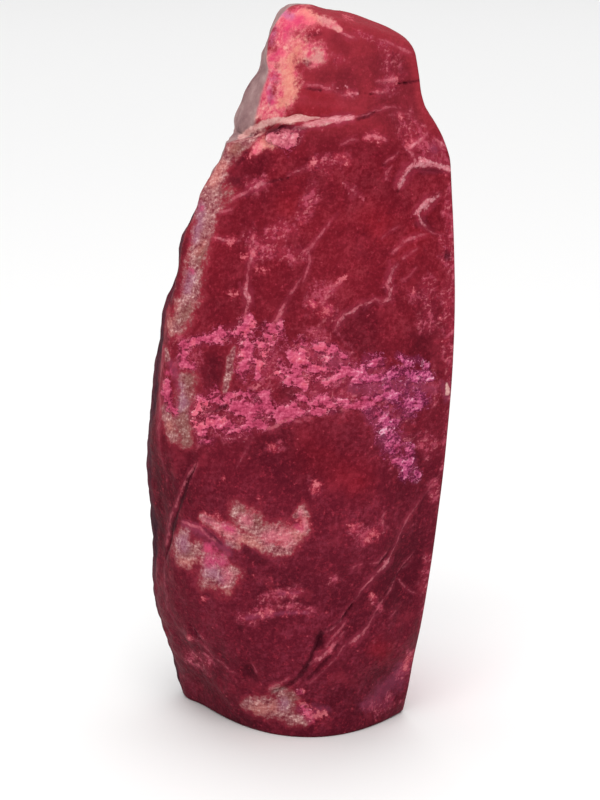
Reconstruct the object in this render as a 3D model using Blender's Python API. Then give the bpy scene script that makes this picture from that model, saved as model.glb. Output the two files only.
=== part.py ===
"""Pink agate geode: one dyed stone that stands on a sawn foot.

The stone is a thick piece of an agate nodule. Its broad face looks along -Y, its right side (+X) was sawn
flat and polished, and its back is the natural rind. A narrower head stands above a sloping ledge, set back
from the face.

The surface is a loft. Every ring of points goes round the stone once: the broad face from the sawn rim to the
left crease, the rind round the back, and the sawn side. The corners of the rings follow smooth curves of
height. The frame is +Z up, with the origin in the middle of the foot's plane. Lengths in the tables are
millimetres.
"""

import bmesh
import bpy
import math
import numpy as np

MM = 0.001

# Driving dimensions.
HEIGHT = 146.2
CENTRE = (-0.47, 4.37)

# The sawn side is one plane: x = SAWN_X + SAWN_LEAN * (z - SAWN_AT[1]) - SAWN_TURN * (y - SAWN_AT[0]).
SAWN_X = 30.15
SAWN_LEAN = 0.035
SAWN_TURN = 0.36
SAWN_AT = (-19.0, 78.0)

# Corner lines of the loft, as (height, value) knots.
RIM_Y = [(0, -2.6), (6, -4.8), (13, -6.8), (21, -9.6), (30, -12.0), (38, -13.8), (46, -15.3), (54, -16.7),
         (62, -17.7), (78, -18.8), (90, -18.3), (102, -16.4), (117, -13.2), (130, -12.0), (146, -9.0)]
CHIP_X = [(104, 42.0), (110, 34.5), (114, 31.3), (117, 29.6), (121, 27.9), (123.5, 26.5), (126, 24.8),
          (129, 23.7), (133, 23.1), (137, 22.4), (141, 21.5), (146, 19.9)]
CHIP_BLEND = 0.25
BACK_Y = [(0, 22.0), (10, 27.0), (25, 31.0), (50, 34.0), (75, 34.0), (100, 29.5), (115, 24.0), (125, 19.0),
          (135, 13.5), (146, 6.0)]
CREASE_X = [(0, -21.0), (4, -21.5), (8, -22.5), (14, -23.3), (21, -24.9), (30, -25.7), (38, -26.4),
            (46, -27.2), (54, -27.8), (62, -27.8), (72, -26.9), (80, -26.2), (92, -24.2), (102, -22.2),
            (108, -19.9), (114, -17.6), (119.5, -14.6), (124, -12.4)]
CREASE_Y = [(0, 2.2), (4, 0.0), (8, -3.1), (14, -7.0), (21, -10.5), (30, -13.5), (38, -15.5), (46, -17.0),
            (54, -18.0), (72, -18.4), (108, -18.0), (119.5, -17.8), (124, -17.5)]
HEAD_CREASE_X = [(118, -8.6), (125, -8.0), (127.3, -7.4), (129.4, -7.0), (131.3, -6.4), (133.6, -5.8),
                 (136.4, -6.5), (139.2, -6.3), (143, -4.7), (146, -2.8)]
HEAD_CREASE_Y = [(118, -13.5), (124.5, -13.2), (129, -12.7), (133, -12.3), (137, -11.8), (141, -11.0),
                 (146, -9.0)]

# How far the broad face bows out in front of its chord, and how far the flank swells past the crease.
FACE_BOW = [(0, 17.9), (6, 16.3), (15, 14.0), (30, 12.0), (50, 10.5), (75, 9.5), (100, 8.5), (115, 8.0),
            (125, 7.5), (146, 6.0)]
FACE_POWER = [(0, 2.1), (20, 2.3), (45, 2.15), (146, 2.0)]
HEAD_BOW = [(118, 6.0), (130, 5.2), (146, 4.0)]
SWELL = [(0, 15.0), (6, 15.2), (12, 16.2), (19, 17.4), (28, 17.6), (36, 17.0), (45, 15.2), (54, 12.4),
         (66, 10.8), (78, 10.0), (90, 7.8), (97, 5.5), (104, 3.6), (112, 2.5), (126, 3.0)]
HEAD_SWELL = [(118, 16.5), (124, 15.5), (128, 13.2), (132, 9.6), (136, 5.0), (139, 3.4), (146, 3.0)]

# The ledge's lower edge along x, and how far its upper edge rises above it.
LEDGE_Z = [(-16, 119.6), (-13.2, 120.8), (-8.6, 122.6), (-6, 124.0), (-4.4, 124.8), (0, 124.7), (4, 125.0),
           (6.6, 125.8), (10.4, 126.3), (18, 127.5), (23, 126.8)]
LEDGE_RISE = [(-13, 0.9), (-8.5, 1.9), (-4, 0.9), (4, 0.7), (12, 0.4), (20, 0.3)]
LEDGE_BACK_Z = 121.5
LEDGE_BACK_RISE = 3.0

# The top, a low crest that falls towards +X and away to both sides.
TOP_Z = [(-12, 143.4), (-5, 145.3), (-1, HEIGHT), (6, 145.4), (10, 144.6), (13.6, 143.3), (17.5, 141.7),
         (20.6, 139.8), (24, 136.6)]
TOP_CREST_Y = -7.0
TOP_FALL = 0.016
TOP_POLE = (7.0, -4.0)

# Roundings, as lengths measured away from each corner. SIDE_LENGTH turns them into shares of a side.
SIDE_LENGTH = 60.0
SAWN_ROUND = 0.6
CREASE_ROUND = [(0, 3.0), (12, 2.5), (28, 4.0), (45, 5.0), (60, 3.0), (75, 1.6), (146, 1.4)]
TOP_ROUND = 0.12
FOOT_ROUND = 0.8
FOOT_INSET = 0.4

# Relief: (wavelength, height, seed) of the waves in the whole skin and of the knobs in the rind.
SKIN_WAVES = [(26.0, 0.42, 3), (12.0, 0.20, 5)]
RIND_KNOBS = [(9.0, 0.34, 11), (5.5, 0.22, 12)]
WAVES_PER_FIELD = 28

# Mesh resolution: columns along each side of a ring, rows of rings up each stretch.
COLUMNS = (40, 44, 10)
SLAB_ROWS = 38
HEAD_ROWS = 8
TOP_ROWS = 4


def curve(at, knots):
    """Smooth curve through (at, value) knots: cubic Hermite pieces with central slopes, held at both ends."""
    knot_at, value = np.array(knots, float).T
    slope = np.gradient(value, knot_at)
    at = np.clip(at, knot_at[0], knot_at[-1])
    k = np.clip(np.searchsorted(knot_at, at, side="right") - 1, 0, len(knot_at) - 2)
    step = knot_at[k + 1] - knot_at[k]
    t = (at - knot_at[k]) / step
    rise = value[k + 1] - value[k]
    return (value[k] + rise * t * t * (3 - 2 * t)
            + step * t * (1 - t) * (slope[k] * (1 - t) - slope[k + 1] * t))


def ease(start, end, at):
    """Smooth step from 0 at start to 1 at end."""
    t = np.clip((at - start) / (end - start), 0.0, 1.0)
    return t * t * (3 - 2 * t)


def sawn_x(y, z):
    """x of the sawn side at (y, z): its plane, with the broken upper front corner taken off."""
    plane = SAWN_X + SAWN_LEAN * (z - SAWN_AT[1]) - SAWN_TURN * (y - SAWN_AT[0])
    gap = plane - curve(z, CHIP_X)
    return plane - 0.5 * (gap + np.sqrt(gap * gap + CHIP_BLEND))


def outline(u, z, head):
    """Sharp outline point (x, y) at height z: u 0 to 1 the broad face, to 2 the rind, to 3 the sawn side."""
    side = np.floor(u).astype(int) % 3
    s = u - np.floor(u)
    rim_y = curve(z, RIM_Y)
    rim_x = sawn_x(rim_y, z)
    back_y = curve(z, BACK_Y)
    back_x = sawn_x(back_y, z)
    left_x = curve(z, HEAD_CREASE_X if head else CREASE_X)
    left_y = curve(z, HEAD_CREASE_Y if head else CREASE_Y)
    swell = curve(z, HEAD_SWELL if head else SWELL)
    bow = curve(z, HEAD_BOW if head else FACE_BOW)
    arch = 1 - np.abs(2 * s - 1) ** curve(z, FACE_POWER)
    r = 1 - s
    wide = back_x - left_x
    deep = back_y - left_y
    rind_x = (r ** 3 * left_x + 3 * r * r * s * (left_x - swell)
              + 3 * r * s * s * (back_x - 0.45 * wide) + s ** 3 * back_x)
    rind_y = (r ** 3 * left_y + 3 * r * r * s * (left_y + 0.6 * deep)
              + 3 * r * s * s * (back_y + 0.18 * deep) + s ** 3 * back_y)
    side_y = back_y + (rim_y - back_y) * s
    x = np.choose(side, [rim_x + (left_x - rim_x) * s, rind_x, sawn_x(side_y, z)])
    y = np.choose(side, [rim_y + (left_y - rim_y) * s - bow * arch, rind_y, side_y])
    return x, y


def head_outline(u, z):
    """Outline above the ledge: the head's own at the left, the slab's carried on at the right and back."""
    own_x, own_y = outline(u, z, True)
    slab_x, slab_y = outline(u, z, False)
    turn = u % 3
    keep = ease(0.12, 0.85, turn) * (1 - ease(1.1, 1.6, turn))
    return slab_x + (own_x - slab_x) * keep, slab_y + (own_y - slab_y) * keep


def top_z(x, y):
    """Height of the stone's top over (x, y)."""
    return curve(x, TOP_Z) - TOP_FALL * (y - TOP_CREST_Y) ** 2


def sharp_skin(u, v):
    """Point of the stone with sharp corners: v to 1 the slab, to 1.2 the ledge, 2 the head, 3 the top."""
    u, v = np.broadcast_arrays(u, v)
    edge_x, edge_y = outline(u, np.full(u.shape, LEDGE_BACK_Z), False)
    front = ease(6.0, -10.0, edge_y)
    edge_z = LEDGE_BACK_Z + (curve(edge_x, LEDGE_Z) - LEDGE_BACK_Z) * front
    inner_z = edge_z + LEDGE_BACK_RISE + (curve(edge_x, LEDGE_RISE) - LEDGE_BACK_RISE) * front
    rim_z = np.full(u.shape, HEIGHT)
    for _ in range(4):
        rim_z = top_z(*head_outline(u, rim_z))

    slab_z = edge_z * np.clip(v, 0, 1)
    head_z = inner_z + (rim_z - inner_z) * np.clip((v - 1.2) / 0.8, 0, 1)
    slab = outline(u, slab_z, False)
    head = head_outline(u, head_z)
    shelf = np.clip((v - 1) / 0.2, 0, 1)
    x = slab[0] + (head[0] - slab[0]) * shelf
    y = slab[1] + (head[1] - slab[1]) * shelf
    z = slab_z + (head_z - slab_z) * shelf
    inward = np.clip(v - 2, 0, 1)
    x = x + (TOP_POLE[0] - x) * inward
    y = y + (TOP_POLE[1] - y) * inward
    return np.stack([x, y, np.where(inward > 0, top_z(x, y), z)], -1)


def bend(path, at, corner, width):
    """path(at), with its corner replaced by a quadratic Bezier arc that reaches width to each side of it."""
    t = np.clip((at - corner) / (2 * width) + 0.5, 0, 1)[..., None]
    arc = ((1 - t) ** 2 * path(corner - width) + 2 * t * (1 - t) * path(corner + 0 * at)
           + t * t * path(corner + width))
    return np.where((np.abs(at - corner) < width)[..., None], arc, path(at))


def upright_round(u, v):
    """The skin with its three upright corners rounded."""
    corner = np.round(u)
    crease = curve(LEDGE_BACK_Z * np.clip(v, 0, 1), CREASE_ROUND)
    width = np.where(corner == 1, crease, SAWN_ROUND) / SIDE_LENGTH
    return bend(lambda turn: sharp_skin(turn, v), u, corner, width)


def skin(u, v):
    """Smooth point of the stone's form at (u, v), before its relief."""
    point = bend(lambda climb: upright_round(u, climb), v, 2.0 + 0 * v, TOP_ROUND + 0 * v)
    low = np.clip(1 - point[..., 2] / FOOT_ROUND, 0, 1) ** 2 * FOOT_INSET
    middle = np.array([0.0, CENTRE[1]])
    reach = np.linalg.norm(point[..., :2] - middle, axis=-1)
    point[..., :2] += (middle - point[..., :2]) * (low / reach)[..., None]
    return point


def waves(points, wavelength, seed):
    """Band of relief with unit spread: a sum of sine waves of one wavelength in seeded directions."""
    random = np.random.default_rng(seed)
    ways = random.normal(size=(3, WAVES_PER_FIELD))
    ways *= 2 * math.pi / wavelength / np.linalg.norm(ways, axis=0)
    phases = random.uniform(0, 2 * math.pi, WAVES_PER_FIELD)
    return np.sin(points @ ways + phases).sum(-1) * math.sqrt(2 / WAVES_PER_FIELD)


def relief(points, u, v):
    """Height of the skin's relief in millimetres, none on the sawn side and the foot."""
    broken = ease(0.0, 0.06, u) * ease(2.0, 1.94, u) * ease(0.0, 0.05, v) * (1 - 0.75 * ease(1.5, 2.0, v))
    rind = ease(1.08, 1.4, u)
    height = sum(size * waves(points, wavelength, seed) for wavelength, size, seed in SKIN_WAVES)
    height += rind * sum(size * waves(points, wavelength, seed) for wavelength, size, seed in RIND_KNOBS)
    return broken * height


def ring_places():
    """u of the columns round a ring, and v of the rings from the foot to the one next to the top's pole."""
    u = np.concatenate([side + np.arange(count) / count for side, count in enumerate(COLUMNS)])
    v = np.concatenate([[0, FOOT_ROUND / HEIGHT], np.arange(1, SLAB_ROWS) / SLAB_ROWS, [1.0],
                        1.2 + 0.8 * np.arange(HEAD_ROWS) / HEAD_ROWS, 2 + np.arange(TOP_ROWS) / TOP_ROWS])
    return np.meshgrid(u, v)


def stone_points():
    """Rings of points, one row for each ring, in millimetres about the foot's middle."""
    u, v = ring_places()
    points = skin(u, v)
    along = np.roll(points, -1, axis=1) - np.roll(points, 1, axis=1)
    normal = np.cross(along, np.gradient(points, axis=0))
    normal /= -np.linalg.norm(normal, axis=-1, keepdims=True)
    points = points + normal * relief(points, u, v)[..., None]
    return points - np.array([CENTRE[0], CENTRE[1], 0.0])


def extrude_ring(bm, ring, points):
    """Extrude a closed ring of vertices once and move each new vertex to its point. Returns the new ring."""
    edges = [bm.edges.get((ring[k - 1], ring[k])) for k in range(len(ring))]
    made = bmesh.ops.extrude_edge_only(bm, edges=edges)["geom"]
    fresh = {item for item in made if isinstance(item, bmesh.types.BMVert)}
    new_ring = []
    for vertex, point in zip(ring, points):
        twin = next(edge.other_vert(vertex) for edge in vertex.link_edges if edge.other_vert(vertex) in fresh)
        twin.co = point
        new_ring.append(twin)
    return new_ring


def stone_mesh():
    """The whole stone as one closed mesh: rings extruded upwards, a flat foot and a poked top."""
    rings = stone_points() * MM
    bm = bmesh.new()
    ring = [bm.verts.new(point) for point in rings[0]]
    for k in range(len(ring)):
        bm.edges.new((ring[k - 1], ring[k]))
    bm.faces.new(ring)
    for points in rings[1:]:
        ring = extrude_ring(bm, ring, points)
    cap = bm.faces.new(ring)
    bmesh.ops.poke(bm, faces=[cap])
    bmesh.ops.triangulate(bm, faces=bm.faces)
    bmesh.ops.recalc_face_normals(bm, faces=bm.faces)
    mesh = bpy.data.meshes.new("agate_geode")
    bm.to_mesh(mesh)
    bm.free()
    mesh.shade_smooth()
    mesh.set_sharp_from_angle(angle=math.radians(50))
    return mesh


def stone_material():
    """Deep crimson dyed agate with a waxy surface."""
    material = bpy.data.materials.new("dyed_agate")
    material.use_nodes = True
    shader = material.node_tree.nodes["Principled BSDF"]
    shader.inputs["Base Color"].default_value = (0.23, 0.025, 0.04, 1.0)
    shader.inputs["Roughness"].default_value = 0.42
    shader.inputs["Metallic"].default_value = 0.0
    return material


def main():
    for old in list(bpy.data.objects):
        bpy.data.objects.remove(old)
    stone = bpy.data.objects.new("agate_geode", stone_mesh())
    stone.data.materials.append(stone_material())
    bpy.context.scene.collection.objects.link(stone)


main()
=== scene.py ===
"""Looks of the pink agate geode: one dyed stone on a pale studio floor.

The stone is one numpy surface over (u, v). u goes round it: 0 to 1 the broad face from the sawn rim to the
left crease, to 2 the natural rind round the back, to 3 the sawn side. v climbs it: 0 to 1 the slab, to 1.2
the ledge, to 2 the head, to 3 the top. Lengths are millimetres until the mesh is made. Marks on the stone are
strokes drawn in a frame of 600 by 800 units, as the stone is seen from the camera's side. They are carried
onto it as attributes: patches at its points, and thin lines at the corners of its faces.
"""

import math

import bpy
import numpy as np
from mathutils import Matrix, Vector


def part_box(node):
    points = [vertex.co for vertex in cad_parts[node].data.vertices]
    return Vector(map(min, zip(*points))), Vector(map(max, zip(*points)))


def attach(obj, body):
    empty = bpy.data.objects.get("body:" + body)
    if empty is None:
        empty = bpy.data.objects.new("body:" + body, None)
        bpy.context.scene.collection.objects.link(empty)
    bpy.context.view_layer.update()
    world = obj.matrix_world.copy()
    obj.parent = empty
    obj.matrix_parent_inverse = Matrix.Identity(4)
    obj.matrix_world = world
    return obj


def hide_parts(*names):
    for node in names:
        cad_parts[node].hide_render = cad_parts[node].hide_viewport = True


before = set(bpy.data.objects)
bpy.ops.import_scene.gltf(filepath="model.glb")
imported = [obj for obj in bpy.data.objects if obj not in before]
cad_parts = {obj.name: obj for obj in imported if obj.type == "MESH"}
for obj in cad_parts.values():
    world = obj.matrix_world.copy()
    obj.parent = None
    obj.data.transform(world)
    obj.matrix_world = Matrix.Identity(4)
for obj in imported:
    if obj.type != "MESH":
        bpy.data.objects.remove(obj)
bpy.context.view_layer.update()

MM = 0.001

# ---------------------------------------- form, as in the solid

HEIGHT = 146.2
CENTRE = (-0.47, 4.37)
SAWN_X = 30.15
SAWN_LEAN = 0.035
SAWN_TURN = 0.36
SAWN_AT = (-19.0, 78.0)

RIM_Y = [(0, -2.6), (6, -4.8), (13, -6.8), (21, -9.6), (30, -12.0), (38, -13.8), (46, -15.3), (54, -16.7),
         (62, -17.7), (78, -18.8), (90, -18.3), (102, -16.4), (117, -13.2), (130, -12.0), (146, -9.0)]
CHIP_X = [(104, 42.0), (110, 34.5), (114, 31.3), (117, 29.6), (121, 27.9), (123.5, 26.5), (126, 24.8),
          (129, 23.7), (133, 23.1), (137, 22.4), (141, 21.5), (146, 19.9)]
CHIP_BLEND = 0.25
BACK_Y = [(0, 22.0), (10, 27.0), (25, 31.0), (50, 34.0), (75, 34.0), (100, 29.5), (115, 24.0), (125, 19.0),
          (135, 13.5), (146, 6.0)]
CREASE_X = [(0, -21.0), (4, -21.5), (8, -22.5), (14, -23.3), (21, -24.9), (30, -25.7), (38, -26.4),
            (46, -27.2), (54, -27.8), (62, -27.8), (72, -26.9), (80, -26.2), (92, -24.2), (102, -22.2),
            (108, -19.9), (114, -17.6), (119.5, -14.6), (124, -12.4)]
CREASE_Y = [(0, 2.2), (4, 0.0), (8, -3.1), (14, -7.0), (21, -10.5), (30, -13.5), (38, -15.5), (46, -17.0),
            (54, -18.0), (72, -18.4), (108, -18.0), (119.5, -17.8), (124, -17.5)]
HEAD_CREASE_X = [(118, -8.6), (125, -8.0), (127.3, -7.4), (129.4, -7.0), (131.3, -6.4), (133.6, -5.8),
                 (136.4, -6.5), (139.2, -6.3), (143, -4.7), (146, -2.8)]
HEAD_CREASE_Y = [(118, -13.5), (124.5, -13.2), (129, -12.7), (133, -12.3), (137, -11.8), (141, -11.0),
                 (146, -9.0)]
FACE_BOW = [(0, 17.9), (6, 16.3), (15, 14.0), (30, 12.0), (50, 10.5), (75, 9.5), (100, 8.5), (115, 8.0),
            (125, 7.5), (146, 6.0)]
FACE_POWER = [(0, 2.1), (20, 2.3), (45, 2.15), (146, 2.0)]
HEAD_BOW = [(118, 6.0), (130, 5.2), (146, 4.0)]
SWELL = [(0, 15.0), (6, 15.2), (12, 16.2), (19, 17.4), (28, 17.6), (36, 17.0), (45, 15.2), (54, 12.4),
         (66, 10.8), (78, 10.0), (90, 7.8), (97, 5.5), (104, 3.6), (112, 2.5), (126, 3.0)]
HEAD_SWELL = [(118, 16.5), (124, 15.5), (128, 13.2), (132, 9.6), (136, 5.0), (139, 3.4), (146, 3.0)]
LEDGE_Z = [(-16, 119.6), (-13.2, 120.8), (-8.6, 122.6), (-6, 124.0), (-4.4, 124.8), (0, 124.7), (4, 125.0),
           (6.6, 125.8), (10.4, 126.3), (18, 127.5), (23, 126.8)]
LEDGE_RISE = [(-13, 0.9), (-8.5, 1.9), (-4, 0.9), (4, 0.7), (12, 0.4), (20, 0.3)]
LEDGE_BACK_Z = 121.5
LEDGE_BACK_RISE = 3.0
# The share of v that the ledge takes between slab and head, and the y over which its front comes in.
LEDGE_V = 0.2
LEDGE_FRONT_Y = (6.0, -10.0)
# Handles of the rind's curve, as shares of its width or depth: how far the first lies behind the crease, and
# the second beside the back corner and behind it.
RIND_FIRST_BEHIND = 0.6
RIND_SECOND_BESIDE = 0.45
RIND_SECOND_BEHIND = 0.18
# The u over which the head's own outline comes in, and goes out again round the back.
HEAD_OWN_FROM = (0.12, 0.85)
HEAD_OWN_UNTIL = (1.1, 1.6)
TOP_Z = [(-12, 143.4), (-5, 145.3), (-1, HEIGHT), (6, 145.4), (10, 144.6), (13.6, 143.3), (17.5, 141.7),
         (20.6, 139.8), (24, 136.6)]
TOP_CREST_Y = -7.0
TOP_FALL = 0.016
TOP_POLE = (7.0, -4.0)
# Rounds in which the height settles at which the head meets the top.
RIM_ROUNDS = 4
# How far corners are rounded: upright ones in millimetres, over a rough length of a side, and the top's in v.
SIDE_LENGTH = 60.0
SAWN_ROUND = 0.6
CREASE_ROUND = [(0, 3.0), (12, 2.5), (28, 4.0), (45, 5.0), (60, 3.0), (75, 1.6), (146, 1.4)]
TOP_ROUND = 0.12
# The foot's edge: the height over which it is drawn in, and by how much.
FOOT_ROUND = 0.8
FOOT_INSET = 0.4
# The solid's own relief: (wavelength, height, seed), each a sum of so many waves.
SKIN_WAVES = [(26.0, 0.42, 3), (12.0, 0.20, 5)]
RIND_KNOBS = [(9.0, 0.34, 11), (5.5, 0.22, 12)]
WAVES_PER_FIELD = 28

# The u and v over which relief comes in from the sawn side and the foot, and knobs from the crease.
RELIEF_FROM_RIM = (0.0, 0.06)
RELIEF_FROM_SAW = (2.0, 1.94)
RELIEF_FROM_FOOT = (0.0, 0.05)
KNOBS_FROM = (1.08, 1.4)
# The v over which the solid's own waves fade towards the top's pole, and by how much.
TOP_CALM_V = (1.5, 2.0)
TOP_CALM = 0.75

# Where the rind's skin starts: (height, u) knots, and the width in u over which it comes in.
RIND_FROM = [(0, 1.10), (20, 1.09), (40, 1.06), (56, 1.045), (64, 1.03), (80, 1.02), (96, 1.01), (108, 1.01),
             (116, 1.05), (146, 1.08)]
RIND_BLEND = 0.05

# Relief finer than the solid's: (wavelength, height, seed).
FACE_GRAIN = [(6.0, 0.07, 21), (3.2, 0.045, 22), (1.7, 0.02, 23)]
RIND_GRAIN = [(3.4, 0.035, 31), (2.2, 0.03, 32)]
# The flank's ribs: their step, height and waver (radians, wavelength, seed), and where they run.
RIB_STEP = 3.7
RIB_HEIGHT = 0.05
RIB_WAVER = (2.2, 16.0, 41)
RIB_Z = (75.0, 60.0)
RIB_FROM = (1.0, 1.08)
RIB_UNTIL = (1.6, 1.35)
# Drawn relief, with the margin that a line's half-width is grown by, and the crust's grain.
VEIN_HEIGHT = 0.12
VEIN_MARGIN = 0.8
CRACK_DEPTH = 0.45
CRACK_MARGIN = 1.0
CRUST_HEIGHT = 0.12
CRUST_EDGE = (-0.2, 0.6)
CRUST_GRAIN = (1.6, 0.5, 43)
# The u over which drawn marks go out behind the crease.
DRAWN_UNTIL = (1.10, 1.40)
# Where the grey skin beside the head lies: from the crease, round to the back, and upwards from the shoulder.
NOTCH_FROM = (0.99, 1.05)
NOTCH_UNTIL = (1.9, 1.35)
NOTCH_Z = (107.0, 119.0)
SAW_GAP_MOST = 4.0
SHARP_ANGLE = 50

# Mesh resolution: columns along each side of a ring, rows up each stretch.
COLUMNS = (176, 116, 14)
FOOT_ROWS = 3
SLAB_ROWS = 241
LEDGE_ROWS = 10
HEAD_ROWS = 46
TOP_ROWS = 22

# ---------------------------------------- the view in which the marks are drawn

VIEW_RISE = math.radians(13.0)
VIEW_DISTANCE = 520.0
VIEW_AIM = (0.47, -4.37, 66.0)
VIEW_LENS = 115.0
SENSOR = 36.0
FRAME_SIZE = (600, 800)

# Thin lines: how far they reach in half-widths and in drawing units, how far they run out past their ends,
# and the half-width at which they reach full strength.
LINE_FAR = 9.0
LINE_REACH = 9.0
LINE_FADE = 3.0
LINE_FULL = 2.4
# A stroke of one point is drawn as a dot of this length.
DOT_LENGTH = 0.1

# Flake scars: half the width of the step at their edge, and how they run out past its ends.
FLAKE_EDGE = 1.3
FLAKE_FADE = 9.0

# ---------------------------------------- the finish, the floor and the light

# The sawn side's middle and half size, across and up.
SAWN_MIDDLE = (3.0, 64.0)
SAWN_HALF = (27.0, 82.0)
# Powers of the sawn side's level: across, up and of their sum. Then how close its bands lie, and its quartz.
SAWN_POWERS = (2.2, 2.6, 1 / 2.4)
AGATE_BANDS = 15.0
QUARTZ_FADE = (0.30, 0.24)

# Heights over which the stone turns from wine to crimson and the head's red comes in, lighter upwards partly
# in its own colour and partly as painted light from above, and over which the foot's edge takes its painted
# shade.
CRIMSON_Z = (36.0, 108.0)
HEAD_Z = (118.0, 128.0)
FOOT_SHADE_Z = (6.5, 1.0)
# From left to right, where the crust turns violet.
VIOLET_X = (5.0, 22.0)

# Fractal noise is stretched by the first, and by the second for each step of its detail.
NOISE_STRETCH = (4.0, 0.8)
# Way, in millimetres, from the crust's small relief to its light.
LIT_WAY = (-0.25, 0.0, 0.30)
# How the crust's features are squeezed along each axis: drawn out sideways, packed closer in height.
CRUST_DRAWN = (0.85, 1.0, 1.1)

# Metres from here on. Each light: name, place, side, power in watts and colour.
FLOOR_SIDES = 96
FLOOR_RADIUS = 4.0
FLOOR_COLOUR = (0.93, 0.93, 0.93, 1.0)
LIGHT_AIM = (0.0, 0.0, 0.08)
LIGHTS = [
    ("key", (-0.05, -0.60, 0.85), 0.6, 5.2, (1.0, 0.985, 0.97)),
    ("overhead", (0.0, 1.2, 3.2), 4.0, 70.0, (1.0, 1.0, 1.0)),
]
WORLD_COLOUR = (1.0, 1.0, 1.0, 1.0)
WORLD_STRENGTH = 0.50

# ---------------------------------------- colours, in display steps of 255

PAINTS = {
    # Broken stone: its head, its darker places, the painted shade of its hollows and the painted shade along
    # the foot's edge.
    "head": (166, 53, 64), "dusk": (74, 10, 24), "shade": (64, 11, 24), "hollow": (62, 11, 25),
    "foot": (60, 12, 28),
    # Its veil, whose strokes also paint highlights, its flecks, and the painted highlight and shadow of its
    # scales.
    "veil": (168, 52, 76), "fleck": (200, 88, 112), "blotch": (176, 56, 74), "speck": (190, 78, 92),
    "scale_highlight": (214, 116, 128), "scale_shadow": (66, 8, 20),
    # Round and in the holes of the pale patches, the painted highlight and shadow of the sand's facets, and
    # the blush's threads.
    "halo": (166, 54, 70), "hole": (118, 42, 52),
    "sand_highlight": (240, 196, 198), "sand_shadow": (116, 42, 56), "blush_thread": (206, 74, 102),
    # Stains on the stone outside the pale patches.
    "lilac": (148, 64, 93), "hot_pink": (208, 76, 114), "rose_ground": (176, 50, 70),
    # The crust's haze and shadow, at its left and at its right, and its salmon tone.
    "haze_left": (168, 56, 84), "haze_right": (150, 56, 96),
    "under_left": (80, 12, 32), "under_right": (84, 18, 54), "crust_salmon": (226, 94, 106),
    # Lines, the dye on the rind, and the quartz of the sawn side.
    "vein_glow": (170, 58, 82), "crack": (46, 8, 20), "dye": (104, 22, 42), "quartz": (232, 208, 206),
}

# Runs of colour: (place between 0 and 1, red, green, blue).
RAMPS = {
    "wine": [(0.0, 70, 10, 27), (0.5, 101, 25, 41), (1.0, 152, 56, 78)],
    "crimson": [(0.0, 84, 10, 23), (0.5, 121, 25, 38), (1.0, 174, 62, 76)],
    "clear": [(0.0, 104, 10, 22), (1.0, 168, 34, 46)],
    "sand": [(0.0, 112, 44, 54), (0.28, 150, 86, 92), (0.56, 180, 122, 122), (0.8, 212, 160, 156),
             (1.0, 242, 212, 204)],
    "blush": [(0.0, 186, 46, 76), (0.28, 220, 88, 112), (0.5, 234, 130, 138), (0.72, 242, 164, 158),
              (1.0, 252, 212, 202)],
    "rose": [(0.0, 190, 60, 78), (1.0, 236, 138, 146)],
    "crust_pink": [(0.0, 128, 34, 62), (0.3, 178, 62, 94), (0.55, 206, 87, 120), (0.8, 228, 124, 149),
                   (1.0, 246, 192, 202)],
    "crust_pale": [(0.0, 164, 66, 82), (0.5, 218, 124, 136), (1.0, 248, 196, 196)],
    "crust_violet": [(0.0, 84, 18, 50), (0.3, 150, 52, 96), (0.55, 196, 84, 130), (0.8, 220, 122, 158),
                     (1.0, 238, 176, 200)],
    "chalk": [(0.0, 192, 106, 112), (1.0, 246, 208, 198)],
    "vein": [(0.0, 176, 64, 84), (0.5, 208, 106, 121), (1.0, 238, 174, 182)],
    "rind": [(0.0, 40, 12, 26), (0.35, 68, 25, 40), (0.65, 104, 50, 62), (1.0, 156, 104, 106)],
    "notch": [(0.0, 122, 88, 92), (0.5, 160, 126, 126), (1.0, 196, 168, 164)],
    "agate": [(0.0, 236, 206, 208), (0.22, 226, 150, 166), (0.38, 206, 76, 110), (0.5, 232, 170, 182),
              (0.6, 178, 40, 78), (0.78, 142, 24, 56), (1.0, 90, 18, 36)],
}

# Stains of the pale patches: the drawn mark, its colour and its share at most, with the step of their edge.
STAIN_EDGE = (-0.5, 1.0)
SAND_STAINS = [("peach", (220, 132, 122), 0.5), ("olive", (122, 76, 66), 0.6),
               ("lilac", (168, 112, 142), 0.55), ("rose", (226, 112, 136), 0.6),
               ("magenta", (204, 60, 112), 0.75)]
BLUSH_STAINS = [("olive", (206, 150, 142), 0.65), ("peach", (228, 150, 126), 0.65),
                ("rose", (242, 96, 126), 0.7), ("lilac", (190, 108, 156), 0.6),
                ("magenta", (214, 52, 104), 0.75)]

# ---------------------------------------- marks: each stroke a run of points, by column, row and half-width

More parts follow.
